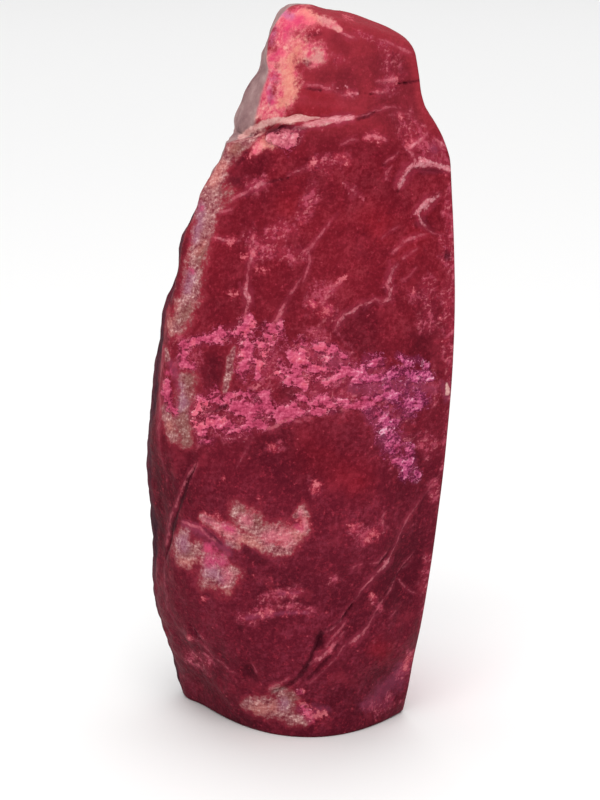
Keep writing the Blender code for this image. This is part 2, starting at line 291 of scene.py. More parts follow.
COVERS = {
    # Pink crust of the middle band, in lacy sheets.
    "crust": [
        (187, 344, 5, 200, 340, 5, 212, 339, 6, 222, 335, 7, 235, 333, 7, 246, 328, 7),
        (247, 318, 4, 246, 331, 7, 245, 345, 8, 246, 360, 9, 243, 374, 6),
        (185, 352, 5, 184, 362, 5, 194, 366, 4), (272, 332, 9, 270, 344, 10, 258, 342, 5),
        (281, 320, 3, 275, 332, 6), (266, 351, 6, 261, 363, 7, 258, 375, 5),
        (280, 362, 5, 287, 368, 6, 297, 374, 7), (310, 368, 6, 323, 370, 6),
        (303, 348, 8, 298, 358, 10, 288, 352, 6, 300, 370, 10, 288, 377, 7, 277, 373, 4),
        (300, 380, 9, 304, 388, 5), (195, 412, 5, 204, 404, 8, 212, 398, 8, 222, 402, 6),
        (236, 408, 9, 250, 407, 11, 262, 410, 10, 276, 413, 8, 290, 411, 8, 304, 412, 5),
        (200, 424, 5, 203, 434, 4), (214, 422, 7, 230, 426, 9, 244, 426, 10, 256, 422, 7, 268, 427, 3),
        (203, 441, 4, 213, 440, 4), (226, 396, 3, 240, 393, 3, 255, 397, 3, 268, 392, 3),
        (316, 346, 5, 326, 355, 6, 334, 349, 4, 346, 358, 4),
        (322, 378, 8, 334, 376, 8, 346, 369, 7, 360, 371, 7, 370, 365, 7, 378, 362, 6),
        (352, 381, 4, 362, 380, 6, 373, 379, 7, 386, 376, 8, 400, 374, 7, 414, 376, 5, 430, 375, 4),
        (398, 356, 3, 408, 362, 4, 420, 360, 3, 428, 367, 3),
        (386, 386, 5, 396, 394, 7, 380, 397, 5, 366, 398, 4),
        (404, 392, 8, 412, 400, 9, 424, 402, 6, 404, 407, 8),
        (372, 406, 8, 380, 418, 9, 386, 430, 9, 392, 440, 10, 393, 449, 8), (393, 424, 7, 408, 414, 7),
        (397, 461, 5, 406, 464, 7, 409, 471, 6, 405, 477, 4), (409, 448, 5, 412, 460, 5),
        (420, 474, 3, 414, 480, 3), (320, 398, 7, 330, 403, 7, 341, 400, 4, 352, 404, 4, 366, 404, 4),
        (326, 410, 3, 314, 412, 4), (307, 402, 5, 300, 396, 4),
        (272, 139, 6, 284, 141, 9, 292, 142, 6, 297, 137, 5), (299, 693, 3), (302, 709, 3, 309, 716, 4),
        (168, 381, 3, 167, 394, 4, 172, 405, 6, 177, 413, 4),
    ],
    # Thin pink veil over the stone, between and round the crust. Its runs along the head's top edge, down the
    # right rim and low on the left by the foot are painted highlights.
    "veil": [
        (185, 345, 14, 190, 365, 14), (262, 240, 18, 285, 230, 14), (258, 254, 10, 300, 251, 9),
        (320, 352, 22, 340, 372, 20), (300, 402, 12, 340, 396, 16), (268, 360, 16, 262, 382, 18),
        (215, 425, 16, 255, 425, 14), (380, 388, 20, 425, 390, 16), (395, 425, 20, 406, 458, 14),
        (322, 300, 16, 330, 316, 12), (250, 185, 10, 262, 180, 8), (272, 449, 8), (317, 487, 9),
        (355, 526, 7, 366, 536, 9, 378, 528, 7), (196, 640, 9), (190, 658, 9, 206, 668, 8),
        (376, 708, 8, 394, 702, 8), (425, 288, 14, 434, 330, 11), (242, 618, 6, 270, 614, 7, 310, 611, 6),
        (262, 599, 6, 302, 593, 6), (330, 577, 8), (412, 130, 14, 432, 148, 18), (448, 240, 8, 449, 330, 8),
        (388, 84, 8, 404, 76, 9), (300, 215, 10, 314, 190, 8), (392, 60, 10, 397, 84, 9),
        (356, 30, 5, 376, 41, 5, 396, 54, 5), (340, 60, 7),
        (450, 186, 5, 452, 260, 6, 452, 330, 6, 450, 400, 6, 446, 470, 5), (432, 560, 7, 424, 640, 6),
        (340, 160, 10, 318, 162, 9), (424, 440, 12, 428, 455, 9), (436, 485, 6, 433, 500, 5),
        (374, 598, 4, 382, 611, 3), (410, 655, 6, 404, 680, 6),
    ],
    # Pale sandy rind that shows through along the left edge and in the lower blobs.
    "sand": [
        (262, 128, 3, 250, 137, 7, 238, 144, 7, 226, 154, 6.5, 219, 167, 7, 216, 180, 8, 215, 192, 15,
         211, 203, 12, 206, 214, 11, 203, 226, 11, 201, 238, 10, 200, 250, 9.5, 196, 264, 9.5, 194, 278, 9,
         191, 290, 11, 187, 303, 10, 182, 316, 10, 175, 327, 8),
        (235, 348, 2.5, 231, 362, 4, 228, 376, 4, 225, 391, 3), (166, 350, 3, 168, 359, 3),
        (188, 381, 9, 187, 396, 8, 184, 412, 8, 185, 428, 10, 187, 442, 7),
        (167, 408, 5, 171, 424, 6, 174, 438, 5), (240, 511, 9, 246, 518, 12, 255, 525, 10, 260, 532, 8),
        (238, 537, 5, 252, 540, 5, 264, 545, 7, 276, 551, 6, 288, 549, 6),
        (266, 532, 8, 278, 534, 11, 290, 538, 10, 300, 532, 6), (296, 515, 3, 302, 510, 5, 308, 516, 3),
        (184, 534, 7, 181, 545, 9, 189, 557, 9, 197, 548, 7),
        (205, 560, 7, 220, 562, 7, 212, 573, 12, 224, 581, 11, 234, 573, 8),
        (204, 517, 4, 213, 523, 6, 226, 530, 8, 238, 537, 7), (229, 542, 4, 238, 545, 4),
        (306, 532, 5, 305, 520, 4), (276, 692, 7, 286, 700, 10, 284, 711, 9),
        (272, 708, 10, 258, 706, 8, 246, 703, 5), (292, 719, 7, 304, 722, 5), (316, 57, 8, 308, 61, 6),
        (312, 17, 3),
    ],
    # Cream and pink marbling of the head's left side and of the brightest stains.
    "blush": [
        (286, 21, 15, 302, 17, 12, 313, 20, 8), (282, 38, 13, 298, 47, 14, 314, 54, 12),
        (283, 58, 14, 284, 74, 14, 287, 90, 13, 280, 104, 12, 266, 115, 8),
        (269, 58, 9, 265, 84, 10, 261, 104, 10, 254, 116, 5), (254, 150, 4, 262, 144, 6, 271, 141, 7),
        (318, 18, 4, 328, 23, 5, 340, 29, 3),
    ],
    # Salmon and peach stains.
    "peach": [
        (219, 166, 7, 213, 181, 7), (171, 306, 6, 169, 322, 6), (232, 150, 7), (197, 165, 4),
        (241, 540, 7, 256, 546, 8), (230, 533, 8, 216, 526, 6), (215, 589, 5, 230, 593, 4),
        (297, 46, 8, 290, 62, 10, 289, 80, 9, 291, 94, 9, 282, 104, 7), (170, 426, 6),
        (302, 520, 7, 298, 534, 9, 282, 538, 9), (296, 140, 7), (184, 562, 6, 196, 563, 5),
        (255, 711, 7, 272, 708, 7), (268, 138, 10, 285, 141, 8), (200, 252, 5, 205, 242, 5),
        (306, 14, 9, 316, 26, 7), (172, 338, 7),
    ],
    # Olive and grey stains in the sand.
    "olive": [
        (237, 148, 7, 231, 153, 5), (205, 250, 7, 201, 262, 6), (188, 311, 8, 181, 320, 6),
        (190, 383, 13, 194, 376, 8), (186, 400, 10), (184, 416, 12, 185, 430, 13, 187, 442, 12),
        (260, 523, 7, 243, 508, 5), (318, 57, 8, 308, 60, 5), (322, 20, 7, 334, 26, 6), (188, 552, 6),
        (262, 629, 4), (226, 192, 8), (290, 697, 6, 300, 706, 5), (320, 641, 5, 316, 648, 4), (307, 667, 4),
        (311, 681, 4),
    ],
    # Lilac and violet stains.
    "lilac": [
        (201, 205, 6, 199, 222, 6, 195, 240, 5), (191, 273, 6, 186, 290, 6), (171, 363, 5, 177, 375, 5),
        (181, 386, 6), (184, 404, 7, 183, 394, 5), (183, 540, 8, 186, 549, 5), (212, 570, 9, 222, 578, 7),
        (184, 524, 4, 196, 529, 6, 208, 536, 7, 220, 545, 7, 228, 551, 7), (270, 98, 5, 268, 88, 4),
        (273, 78, 6), (283, 13, 5, 292, 16, 4), (274, 28, 4, 270, 42, 4), (338, 118, 5, 350, 118, 4),
        (295, 131, 4, 290, 137, 4), (207, 545, 5), (380, 440, 7, 392, 444, 9), (370, 412, 8, 375, 422, 5),
        (410, 470, 9), (350, 388, 6, 374, 389, 7, 398, 387, 7, 420, 387, 7, 434, 389, 5), (300, 710, 5),
        (434, 148, 6), (247, 618, 2.5, 270, 616, 2.5, 308, 613, 2), (316, 712, 7, 328, 711, 4), (282, 705, 7),
        (325, 352, 10, 338, 364, 8), (278, 597, 2, 299, 594, 2),
        (366, 708, 6, 382, 700, 10, 397, 685, 9, 405, 666, 6), (445, 386, 6, 447, 398, 5),
    ],
    # Hot magenta stains.
    "magenta": [
        (169, 373, 4), (170, 391, 4), (207, 548, 6, 212, 552, 6), (208, 561, 6, 222, 562, 7),
        (286, 28, 7, 284, 37, 5), (267, 92, 4), (297, 526, 4), (225, 525, 4, 233, 530, 4), (247, 318, 6),
        (192, 270, 4), (202, 208, 3), (277, 51, 4, 271, 58, 4), (299, 22, 7), (304, 712, 5, 312, 720, 5),
        (329, 310, 5), (313, 304, 4), (303, 350, 7), (272, 101, 3), (301, 694, 3), (330, 651, 3),
        (300, 527, 4),
    ],
    # Bright salmon-pink spots and patches.
    "rose": [
        (247, 156, 3, 253, 151, 3), (217, 239, 2.5), (231, 241, 5), (244, 257, 2.5, 254, 254, 3),
        (235, 293, 4), (315, 163, 4, 309, 167, 2), (338, 156, 3, 344, 157, 2), (346, 163, 3), (313, 158, 2),
        (258, 268, 3, 266, 270, 3), (344, 277, 3, 339, 282, 3), (328, 310, 5, 321, 315, 3), (313, 304, 4),
        (404, 114, 3), (366, 138, 3, 374, 136, 4, 385, 139, 2), (272, 448, 4), (317, 484, 4, 313, 491, 3),
        (351, 524, 4), (364, 538, 4, 373, 532, 4), (374, 597, 3), (190, 637, 3), (205, 598, 3),
        (259, 497, 2.5), (400, 77, 4, 394, 79, 3), (400, 82, 2.5), (349, 93, 3),
        (290, 22, 8, 302, 20, 9, 316, 26, 6), (346, 17, 3, 353, 19, 2.5),
        (300, 704, 3, 314, 717, 5, 324, 715, 4), (303, 692, 2.5), (330, 650, 3.5),
        (380, 92, 2.5, 388, 91, 1.5), (288, 596, 2), (248, 518, 8), (268, 538, 8, 286, 538, 12),
        (228, 578, 8), (413, 291, 3.5), (446, 174, 3), (409, 146, 4, 412, 140, 3), (303, 350, 7),
        (244, 355, 6, 243, 368, 5), (206, 518, 5, 222, 528, 8, 234, 535, 7), (304, 527, 6, 300, 513, 4),
        (224, 478, 2), (269, 66, 3), (277, 49, 4, 283, 54, 3), (300, 372, 5, 303, 384, 5), (270, 340, 6),
        (409, 658, 2.5, 406, 670, 2), (262, 616, 3, 272, 613, 2.5), (285, 616, 2), (299, 614, 2),
        (246, 318, 4), (250, 253, 3), (254, 237, 2), (302, 222, 3),
    ],
    # Painted shade in hollows, below the blobs, along the foot's edge and on facets turned down; and deep
    # maroon bare stone in the crust's holes.
    "shade": [
        (235, 158, 8, 244, 152, 3), (226, 177, 6, 234, 181, 7), (268, 132, 3, 280, 127, 4, 305, 130, 3),
        (204, 419, 4, 224, 407, 4), (247, 349, 4, 262, 337, 4), (214, 362, 12, 212, 378, 10),
        (285, 391, 8, 296, 396, 5), (252, 558, 7, 262, 561, 6), (248, 572, 6), (245, 548, 4),
        (395, 452, 5, 404, 454, 4), (404, 425, 7), (381, 411, 3), (312, 50, 3), (319, 49, 2.5),
        (308, 35, 3, 320, 33, 3), (263, 325, 5), (193, 629, 4, 199, 639, 4), (246, 671, 6, 253, 678, 5),
        (240, 630, 4), (318, 635, 5, 320, 645, 5), (308, 665, 4, 302, 674, 4), (448, 256, 3.5), (384, 165, 4),
        (420, 172, 3, 445, 172, 3), (186, 488, 6, 180, 500, 4), (173, 528, 5, 168, 545, 4), (190, 500, 4),
        (205, 716, 6, 255, 724, 6), (187, 240, 3, 181, 266, 4, 177, 283, 4, 172, 302, 4), (167, 338, 4),
        (157, 350, 4, 154, 400, 4, 153, 440, 5, 155, 480, 4, 156, 540, 4), (345, 667, 3), (354, 693, 3),
        (395, 552, 4, 382, 562, 3), (408, 566, 3, 396, 584, 3), (370, 112, 3, 360, 118, 3),
        (410, 82, 2, 420, 80, 2), (425, 222, 7, 416, 224, 5), (385, 290, 5), (320, 90, 2, 306, 88, 2),
        (320, 412, 3, 345, 410, 3), (246, 549, 5), (449, 256, 5),
    ],
    # Broad places painted a little darker, among them painted shade in the hollow below the flake scar at the
    # upper right.
    "dusk": [
        (244, 212, 22, 250, 255, 20, 246, 300, 22), (300, 250, 14, 290, 305, 20), (215, 310, 14),
        (322, 145, 18, 390, 150, 20, 425, 150, 18), (385, 180, 18, 398, 205, 14), (262, 166, 12),
        (228, 222, 12), (336, 36, 7, 344, 51, 7), (345, 195, 14, 372, 175, 12), (396, 228, 10),
        (300, 164, 12, 340, 150, 14), (396, 300, 12), (165, 440, 14, 162, 500, 12),
        (185, 455, 16, 195, 500, 18, 215, 490, 16), (255, 450, 18), (348, 440, 14, 300, 445, 14),
        (405, 468, 16, 400, 495, 14), (215, 492, 16), (414, 168, 14), (176, 575, 14, 176, 615, 14),
    ],
    # Clear bright red of smooth broken stone.
    "clear": [
        (286, 109, 9, 302, 110, 9, 322, 111, 7, 336, 110, 5), (300, 90, 8, 330, 100, 8), (380, 225, 22),
        (410, 245, 14, 430, 215, 12), (290, 200, 14), (360, 480, 20, 310, 455, 26), (380, 650, 14),
    ],
    # Chalky pale ledge.
    "chalk": [
        (240, 137, 3, 252, 129, 4, 263, 124, 4, 276, 120, 3.4, 290, 121, 3.4, 305, 121, 2.8, 319, 120, 1.6),
        (302, 127, 1.6, 320, 124, 2.2, 336, 119, 2.6, 352, 117.5, 2.2), (447, 384, 1.6, 448, 393, 2.6),
    ],
}

# Thin pale lines: veins, the worn edges of old flake scars and of healed cracks.
VEINS = [
    (232, 199, 1.2, 245, 192, 1.5, 255, 186, 1.9, 262, 182, 1.6),
    (288, 175, 1.0, 298, 171, 1.2, 310, 167, 1.2),
    (253, 235, 1.2, 254, 246, 1.4, 252, 256, 1.5, 249, 268, 1.1, 249, 280, 1.2, 247, 290, 2.1, 248, 300, 2.1,
     246, 310, 1.3, 246, 317, 1.5),
    (301, 277, 0.8, 296, 286, 1.0, 290, 295, 1.0, 286, 302, 1.1, 282, 311, 1.7, 277, 320, 1.5, 271, 329, 1.2),
    (338, 213, 0.7, 328, 224, 1.1, 322, 232, 1.2, 315, 242, 1.3, 309, 250, 1.4, 305, 255, 1.2),
    (309, 251, 1.0, 310, 262, 1.2, 307, 272, 1.2, 303, 282, 0.8),
    (341, 281, 1.5, 333, 288, 1.4, 326, 295, 1.5, 322, 305, 1.4),
    (398, 187, 2.5, 402, 178, 2.7, 406, 170, 2.4, 412, 165, 2.2, 420, 162, 3.1, 430, 165, 2.9, 440, 166, 2.4,
     451, 169, 2.2), (413, 163, 1.4, 410, 153, 1.5, 407, 147, 1.7),
    (409, 148, 2.2, 420, 140, 1.5, 428, 132, 1.0), (434, 138, 1.0, 440, 143, 1.7, 446, 148, 2.0),
    (397, 152, 0.8, 391, 158, 1.2, 385, 162, 1.0), (391, 166, 0.8, 386, 172, 1.2, 386, 179, 1.4),
    (441, 194, 1.5, 434, 198, 2.2, 429, 201, 2.7, 423, 207, 3.1, 419, 212, 2.5, 420, 218, 2.2, 424, 225, 1.9,
     431, 231, 1.4, 440, 234, 0.8), (437, 192, 0.8, 428, 198, 1.2),
    (425, 234, 1.2, 415, 237, 1.5, 405, 240, 1.4, 399, 246, 1.3, 393, 253, 1.2),
    (417, 247, 0.8, 410, 252, 1.1, 402, 258, 1.1),
    (397, 264, 1.4, 392, 269, 2.0, 390, 279, 2.0, 387, 284, 1.5, 391, 290, 1.9, 390, 298, 1.7, 381, 302, 1.7,
     375, 299, 1.5, 367, 304, 1.8, 360, 304, 1.5, 353, 312, 1.9, 345, 315, 1.7, 340, 322, 1.7, 336, 331, 1.3),
    (415, 268, 0.8, 410, 276, 1.0, 403, 280, 1.0), (382, 238, 0.8, 390, 231, 0.9, 397, 227, 0.8),
    (355, 186, 1.1, 352, 190, 1.4, 356, 193, 1.4, 351, 197, 1.4),
    (341, 144, 1.1, 350, 140, 1.3, 357, 140, 0.8), (364, 138, 1.3, 374, 135, 1.7, 387, 140, 1.3),
    (355, 117, 1.0, 368, 114, 1.2, 377, 109, 1.2, 388, 107, 1.3, 396, 106, 1.0, 405, 107, 0.9),
    (392, 114, 0.9, 402, 112, 1.4, 413, 112, 1.0),
    (281, 131, 1.6, 292, 130, 1.6, 303, 127, 1.6, 320, 124, 2.0, 336, 119, 2.4, 354, 117, 2.0),
    (302, 84, 1.0, 318, 85, 1.3, 325, 88, 1.6, 331, 88, 1.5, 332, 83, 1.2),
    (334, 91, 0.9, 345, 94, 1.5, 350, 94, 1.8, 353, 98, 1.0), (378, 81, 1.0, 390, 80, 1.5, 398, 79, 2.0),
    (372, 92, 1.0, 382, 92, 1.8, 391, 90, 1.2), (342, 32, 1.2, 350, 36, 1.6, 358, 38, 1.2),
    (380, 38, 0.8, 390, 42, 1.1, 400, 47, 1.3, 411, 53, 1.4), (220, 213, 1.3, 231, 209, 1.2),
    (214, 237, 1.2, 224, 240, 1.4, 240, 241, 1.0), (252, 440, 0.7, 244, 453, 0.9, 237, 467, 0.6),
    (182, 522, 1.0, 190, 524, 1.6, 200, 528, 1.5, 208, 536, 1.2, 217, 543, 1.0),
    (195, 463, 1.0, 189, 473, 1.3, 183, 484, 1.2, 178, 493, 1.1, 172, 506, 1.2, 168, 517, 1.1, 164, 530, 1.2,
     163, 545, 1.0), (198, 462, 0.9, 192, 476, 0.9, 188, 486, 0.7),
    (163, 345, 0.8, 161, 380, 1.0, 160, 420, 1.0, 160, 455, 0.6, 163, 490, 0.5),
    (166, 560, 0.6, 166, 578, 0.8, 170, 592, 0.7, 169, 606, 0.6, 175, 620, 0.6),
    (437, 480, 0.9, 429, 490, 1.0, 421, 500, 1.0, 414, 511, 1.2, 409, 519, 1.2, 404, 528, 1.2, 400, 536, 1.2,
     396, 546, 1.4, 392, 555, 1.2, 388, 563, 2.2, 382, 570, 1.9, 376, 577, 1.6, 370, 584, 1.7, 362, 592, 1.1,
     357, 600, 0.9, 348, 609, 0.7), (345, 613, 0.9, 341, 622, 1.2, 333, 628, 1.3, 323, 633, 1.1),
    (385, 553, 1.1, 378, 561, 1.3, 370, 563, 0.9), (361, 564, 1.3, 354, 567, 1.2, 350, 572, 0.9),
    (418, 555, 0.7, 411, 564, 1.0, 405, 573, 1.0, 400, 582, 0.9, 394, 590, 1.2, 388, 597, 0.9, 382, 606, 1.0,
     375, 617, 0.9, 370, 627, 1.1, 364, 634, 1.6, 356, 641, 1.9, 348, 644, 1.3, 342, 649, 1.1, 337, 656, 0.9,
     326, 668, 0.9, 317, 677, 0.9, 309, 685, 0.9), (418, 560, 0.6, 412, 570, 0.8, 405, 576, 0.8),
    (404, 583, 0.9, 410, 591, 1.1, 416, 594, 0.9), (404, 605, 0.6, 398, 612, 0.8, 391, 619, 0.6),
    (347, 622, 0.9, 339, 632, 1.1, 331, 640, 1.0, 326, 647, 0.9),
    (344, 634, 1.0, 336, 643, 1.2, 329, 651, 1.7, 320, 657, 1.7, 311, 663, 1.3, 304, 672, 1.1, 297, 679, 0.9),
    (301, 667, 0.6, 291, 677, 0.9, 280, 684, 1.1, 269, 689, 0.9),
    (200, 644, 0.8, 208, 656, 0.9, 218, 664, 0.9, 228, 671, 0.9, 236, 676, 0.6),
    (251, 664, 0.7, 256, 673, 0.9), (352, 525, 0.9, 358, 533, 0.8, 366, 538, 1.1),
    (384, 512, 1.0, 380, 520, 0.8),
    (268, 429, 1.6, 276, 427, 1.6, 282, 422, 1.4, 291, 420, 1.3, 300, 423, 1.2),
]

# Dark open cracks.
CRACKS = [
    (194, 468, 1.4, 188, 479, 2.2, 184, 490, 2.6, 180, 502, 2.2, 176, 512, 2.2, 172, 525, 2.8, 169, 536, 2.6,
     167, 546, 2.0, 165, 558, 1.4), (391, 548, 1.4, 385, 557, 1.8, 378, 566, 1.2),
    (354, 607, 1.2, 346, 617, 1.4, 338, 624, 1.2, 325, 630, 1.4),
    (322, 632, 2.4, 320, 640, 3.6, 316, 648, 2.6, 311, 656, 2.0, 307, 666, 3.0, 301, 675, 2.4, 294, 682, 1.8,
     284, 689, 1.6, 272, 693, 1.2),
    (413, 568, 1.2, 404, 577, 1.4, 396, 585, 1.2, 384, 600, 1.2, 372, 614, 1.0),
    (338, 645, 1.2, 330, 656, 1.4, 318, 668, 1.6, 308, 680, 1.6),
    (190, 625, 1.4, 196, 634, 2.4, 201, 644, 1.8), (404, 82, 0.6, 412, 81, 0.9, 420, 80, 1.0),
    (447, 253, 2.2, 448, 259, 2.2), (303, 88, 0.3, 312, 88, 0.4, 320, 90, 0.3),
    (366, 93, 0.3, 376, 94, 0.4, 386, 94, 0.3),
    (264, 132, 1.6, 272, 128, 2.4, 281, 126, 2.6, 295, 128, 1.4, 308, 128, 1.0),
    (262, 183, 0.9, 275, 180, 1.4, 288, 177, 1.0), (205, 530, 1.0, 213, 538, 1.6, 221, 545, 1.2),
    (358, 119, 1.4, 368, 116, 1.6, 376, 112, 1.0), (414, 168, 1.0, 425, 169, 1.6, 440, 171, 1.2),
    (202, 412, 0.9, 218, 410, 1.4, 226, 406, 2.0),
]

# Steps of old flake scars: a line, the side on which the stone drops (+1 to the right of its direction), the
# depth in millimetres and how far the hollow reaches in drawing units.
FLAKES = [
    ([(398, 188), (404, 174), (413, 165), (424, 163), (452, 168)], 1, 0.75, 34),
    ([(441, 193), (430, 200), (419, 212), (421, 220), (432, 232)], -1, 0.60, 26),
    ([(432, 232), (415, 237), (403, 242), (392, 254)], 1, 0.35, 26),
    ([(397, 264), (391, 272), (390, 284), (390, 298), (376, 300), (360, 305), (346, 315), (336, 331)],
     -1, 0.45, 40),
    ([(420, 80), (400, 81), (380, 82)], -1, 0.35, 22),
    ([(304, 87), (320, 89), (340, 94), (352, 96)], -1, 0.22, 20),
    ([(232, 199), (255, 186), (275, 180), (310, 167)], 1, 0.30, 40),
    ([(437, 480), (409, 519), (388, 562), (362, 592), (341, 622), (320, 640), (301, 675), (272, 692)],
     -1, 0.40, 42),
    ([(418, 555), (400, 582), (382, 606), (364, 634), (342, 649), (309, 685)], -1, 0.35, 30),
    ([(196, 463), (184, 488), (172, 522), (166, 556)], 1, 0.60, 20),
    ([(250, 166), (236, 172), (222, 186)], -1, 0.30, 20),
]

# Small hollows and knobs: (column, row, half-width, height in millimetres).
DENTS = [
    (448, 256, 3.2, -0.8), (312, 51, 2.8, -0.6), (320, 49, 2.4, -0.5), (246, 672, 7, -0.7),
    (240, 630, 5, -0.4), (190, 637, 6, 0.5), (384, 508, 3.2, 0.45), (320, 640, 6, -0.5), (304, 670, 5, -0.4),
    (345, 667, 4, -0.3), (400, 77, 5, 0.35), (231, 241, 4, 0.25), (384, 165, 4, -0.35), (252, 558, 8, -0.35),
    (204, 420, 5, -0.3), (224, 407, 5, -0.35), (238, 157, 8, -0.35), (283, 540, 12, 0.25),
    (240, 518, 12, 0.2), (222, 576, 13, 0.2), (297, 527, 4, -0.25), (247, 318, 5, 0.3), (300, 356, 12, 0.2),
    (404, 425, 8, -0.25), (187, 548, 9, 0.18),
]

# ---------------------------------------- the form


def curve(at, knots):
    """Smooth curve through (at, value) knots: cubic Hermite pieces with central slopes, held at both ends."""
    knot_at, value = np.array(knots, float).T
    slope = np.gradient(value, knot_at)
    at = np.clip(at, knot_at[0], knot_at[-1])
    k = np.clip(np.searchsorted(knot_at, at, side="right") - 1, 0, len(knot_at) - 2)
    step = knot_at[k + 1] - knot_at[k]
    t = (at - knot_at[k]) / step
    rise = value[k + 1] - value[k]
    return (value[k] + rise * t * t * (3 - 2 * t)
            + step * t * (1 - t) * (slope[k] * (1 - t) - slope[k + 1] * t))


def ease(start, end, at):
    """Smooth step from 0 at start to 1 at end."""
    t = np.clip((at - start) / (end - start), 0.0, 1.0)
    return t * t * (3 - 2 * t)


def sawn_x(y, z):
    """x of the sawn side at (y, z): its plane, with the broken upper front corner taken off."""
    plane = SAWN_X + SAWN_LEAN * (z - SAWN_AT[1]) - SAWN_TURN * (y - SAWN_AT[0])
    gap = plane - curve(z, CHIP_X)
    return plane - 0.5 * (gap + np.sqrt(gap * gap + CHIP_BLEND))


def outline(u, z, head):
    """Sharp outline point (x, y) at height z: u 0 to 1 the broad face, to 2 the rind, to 3 the sawn side.

    The face is a chord bowed out by a power arch, the rind a cubic Bezier curve and the sawn side a plane.
    """
    side = np.floor(u).astype(int) % 3
    s = u - np.floor(u)
    rim_y = curve(z, RIM_Y)
    rim_x = sawn_x(rim_y, z)
    back_y = curve(z, BACK_Y)
    back_x = sawn_x(back_y, z)
    left_x = curve(z, HEAD_CREASE_X if head else CREASE_X)
    left_y = curve(z, HEAD_CREASE_Y if head else CREASE_Y)
    swell = curve(z, HEAD_SWELL if head else SWELL)
    bow = curve(z, HEAD_BOW if head else FACE_BOW)
    arch = 1 - np.abs(2 * s - 1) ** curve(z, FACE_POWER)
    r = 1 - s
    wide = back_x - left_x
    deep = back_y - left_y
    rind_x = (r ** 3 * left_x + 3 * r * r * s * (left_x - swell)
              + 3 * r * s * s * (back_x - RIND_SECOND_BESIDE * wide) + s ** 3 * back_x)
    rind_y = (r ** 3 * left_y + 3 * r * r * s * (left_y + RIND_FIRST_BEHIND * deep)
              + 3 * r * s * s * (back_y + RIND_SECOND_BEHIND * deep) + s ** 3 * back_y)
    side_y = back_y + (rim_y - back_y) * s
    x = np.choose(side, [rim_x + (left_x - rim_x) * s, rind_x, sawn_x(side_y, z)])
    y = np.choose(side, [rim_y + (left_y - rim_y) * s - bow * arch, rind_y, side_y])
    return x, y


def head_outline(u, z):
    """Outline above the ledge: the head's own at the left, blended into the slab's at the right and back."""
    own_x, own_y = outline(u, z, True)
    slab_x, slab_y = outline(u, z, False)
    turn = u % 3
    keep = ease(*HEAD_OWN_FROM, turn) * (1 - ease(*HEAD_OWN_UNTIL, turn))
    return slab_x + (own_x - slab_x) * keep, slab_y + (own_y - slab_y) * keep


def top_z(x, y):
    """Height of the stone's top over (x, y): its crest's, less a square of the distance from the crest."""
    return curve(x, TOP_Z) - TOP_FALL * (y - TOP_CREST_Y) ** 2


def sharp_skin(u, v):
    """Point of the stone with sharp corners: v 0 to 1 the slab, then the ledge, to 2 the head, to 3 the top.

    Slab and head take x and y from the outline at their height, and the ledge and the top run straight.
    """
    u, v = np.broadcast_arrays(u, v)
    edge_x, edge_y = outline(u, np.full(u.shape, LEDGE_BACK_Z), False)
    front = ease(*LEDGE_FRONT_Y, edge_y)
    edge_z = LEDGE_BACK_Z + (curve(edge_x, LEDGE_Z) - LEDGE_BACK_Z) * front
    inner_z = edge_z + LEDGE_BACK_RISE + (curve(edge_x, LEDGE_RISE) - LEDGE_BACK_RISE) * front
    rim_z = np.full(u.shape, HEIGHT)
    for _ in range(RIM_ROUNDS):
        rim_z = top_z(*head_outline(u, rim_z))

    slab_z = edge_z * np.clip(v, 0, 1)
    head_z = inner_z + (rim_z - inner_z) * np.clip((v - (1 + LEDGE_V)) / (1 - LEDGE_V), 0, 1)
    slab = outline(u, slab_z, False)
    head = head_outline(u, head_z)
    shelf = np.clip((v - 1) / LEDGE_V, 0, 1)
    x = slab[0] + (head[0] - slab[0]) * shelf
    y = slab[1] + (head[1] - slab[1]) * shelf
    z = slab_z + (head_z - slab_z) * shelf
    inward = np.clip(v - 2, 0, 1)
    x = x + (TOP_POLE[0] - x) * inward
    y = y + (TOP_POLE[1] - y) * inward
    return np.stack([x, y, np.where(inward > 0, top_z(x, y), z)], -1)


def bend(path, at, corner, width):
    """path(at), with its corner replaced by a quadratic Bezier arc that reaches width to each side of it."""
    t = np.clip((at - corner) / (2 * width) + 0.5, 0, 1)[..., None]
    arc = ((1 - t) ** 2 * path(corner - width) + 2 * t * (1 - t) * path(corner + 0 * at)
           + t * t * path(corner + width))
    return np.where((np.abs(at - corner) < width)[..., None], arc, path(at))


def upright_round(u, v):
    """The skin with its three upright corners rounded."""
    corner = np.round(u)
    crease = curve(LEDGE_BACK_Z * np.clip(v, 0, 1), CREASE_ROUND)
    width = np.where(corner == 1, crease, SAWN_ROUND) / SIDE_LENGTH
    return bend(lambda turn: sharp_skin(turn, v), u, corner, width)


def skin(u, v):
    """Smooth point of the stone's form at (u, v), before its relief, with its foot's edge drawn in."""
    point = bend(lambda climb: upright_round(u, climb), v, 2.0 + 0 * v, TOP_ROUND + 0 * v)
    low = np.clip(1 - point[..., 2] / FOOT_ROUND, 0, 1) ** 2 * FOOT_INSET
    middle = np.array([0.0, CENTRE[1]])
    reach = np.linalg.norm(point[..., :2] - middle, axis=-1)
    point[..., :2] += (middle - point[..., :2]) * (low / reach)[..., None]
    return point


def waves(points, wavelength, seed):
    """Band of relief with unit spread: a sum of sine waves of one wavelength in seeded directions."""
    random = np.random.default_rng(seed)
    ways = random.normal(size=(3, WAVES_PER_FIELD))
    ways *= 2 * math.pi / wavelength / np.linalg.norm(ways, axis=0)
    phases = random.uniform(0, 2 * math.pi, WAVES_PER_FIELD)
    return np.sin(points @ ways + phases).sum(-1) * math.sqrt(2 / WAVES_PER_FIELD)


# ---------------------------------------- marks carried onto the stone


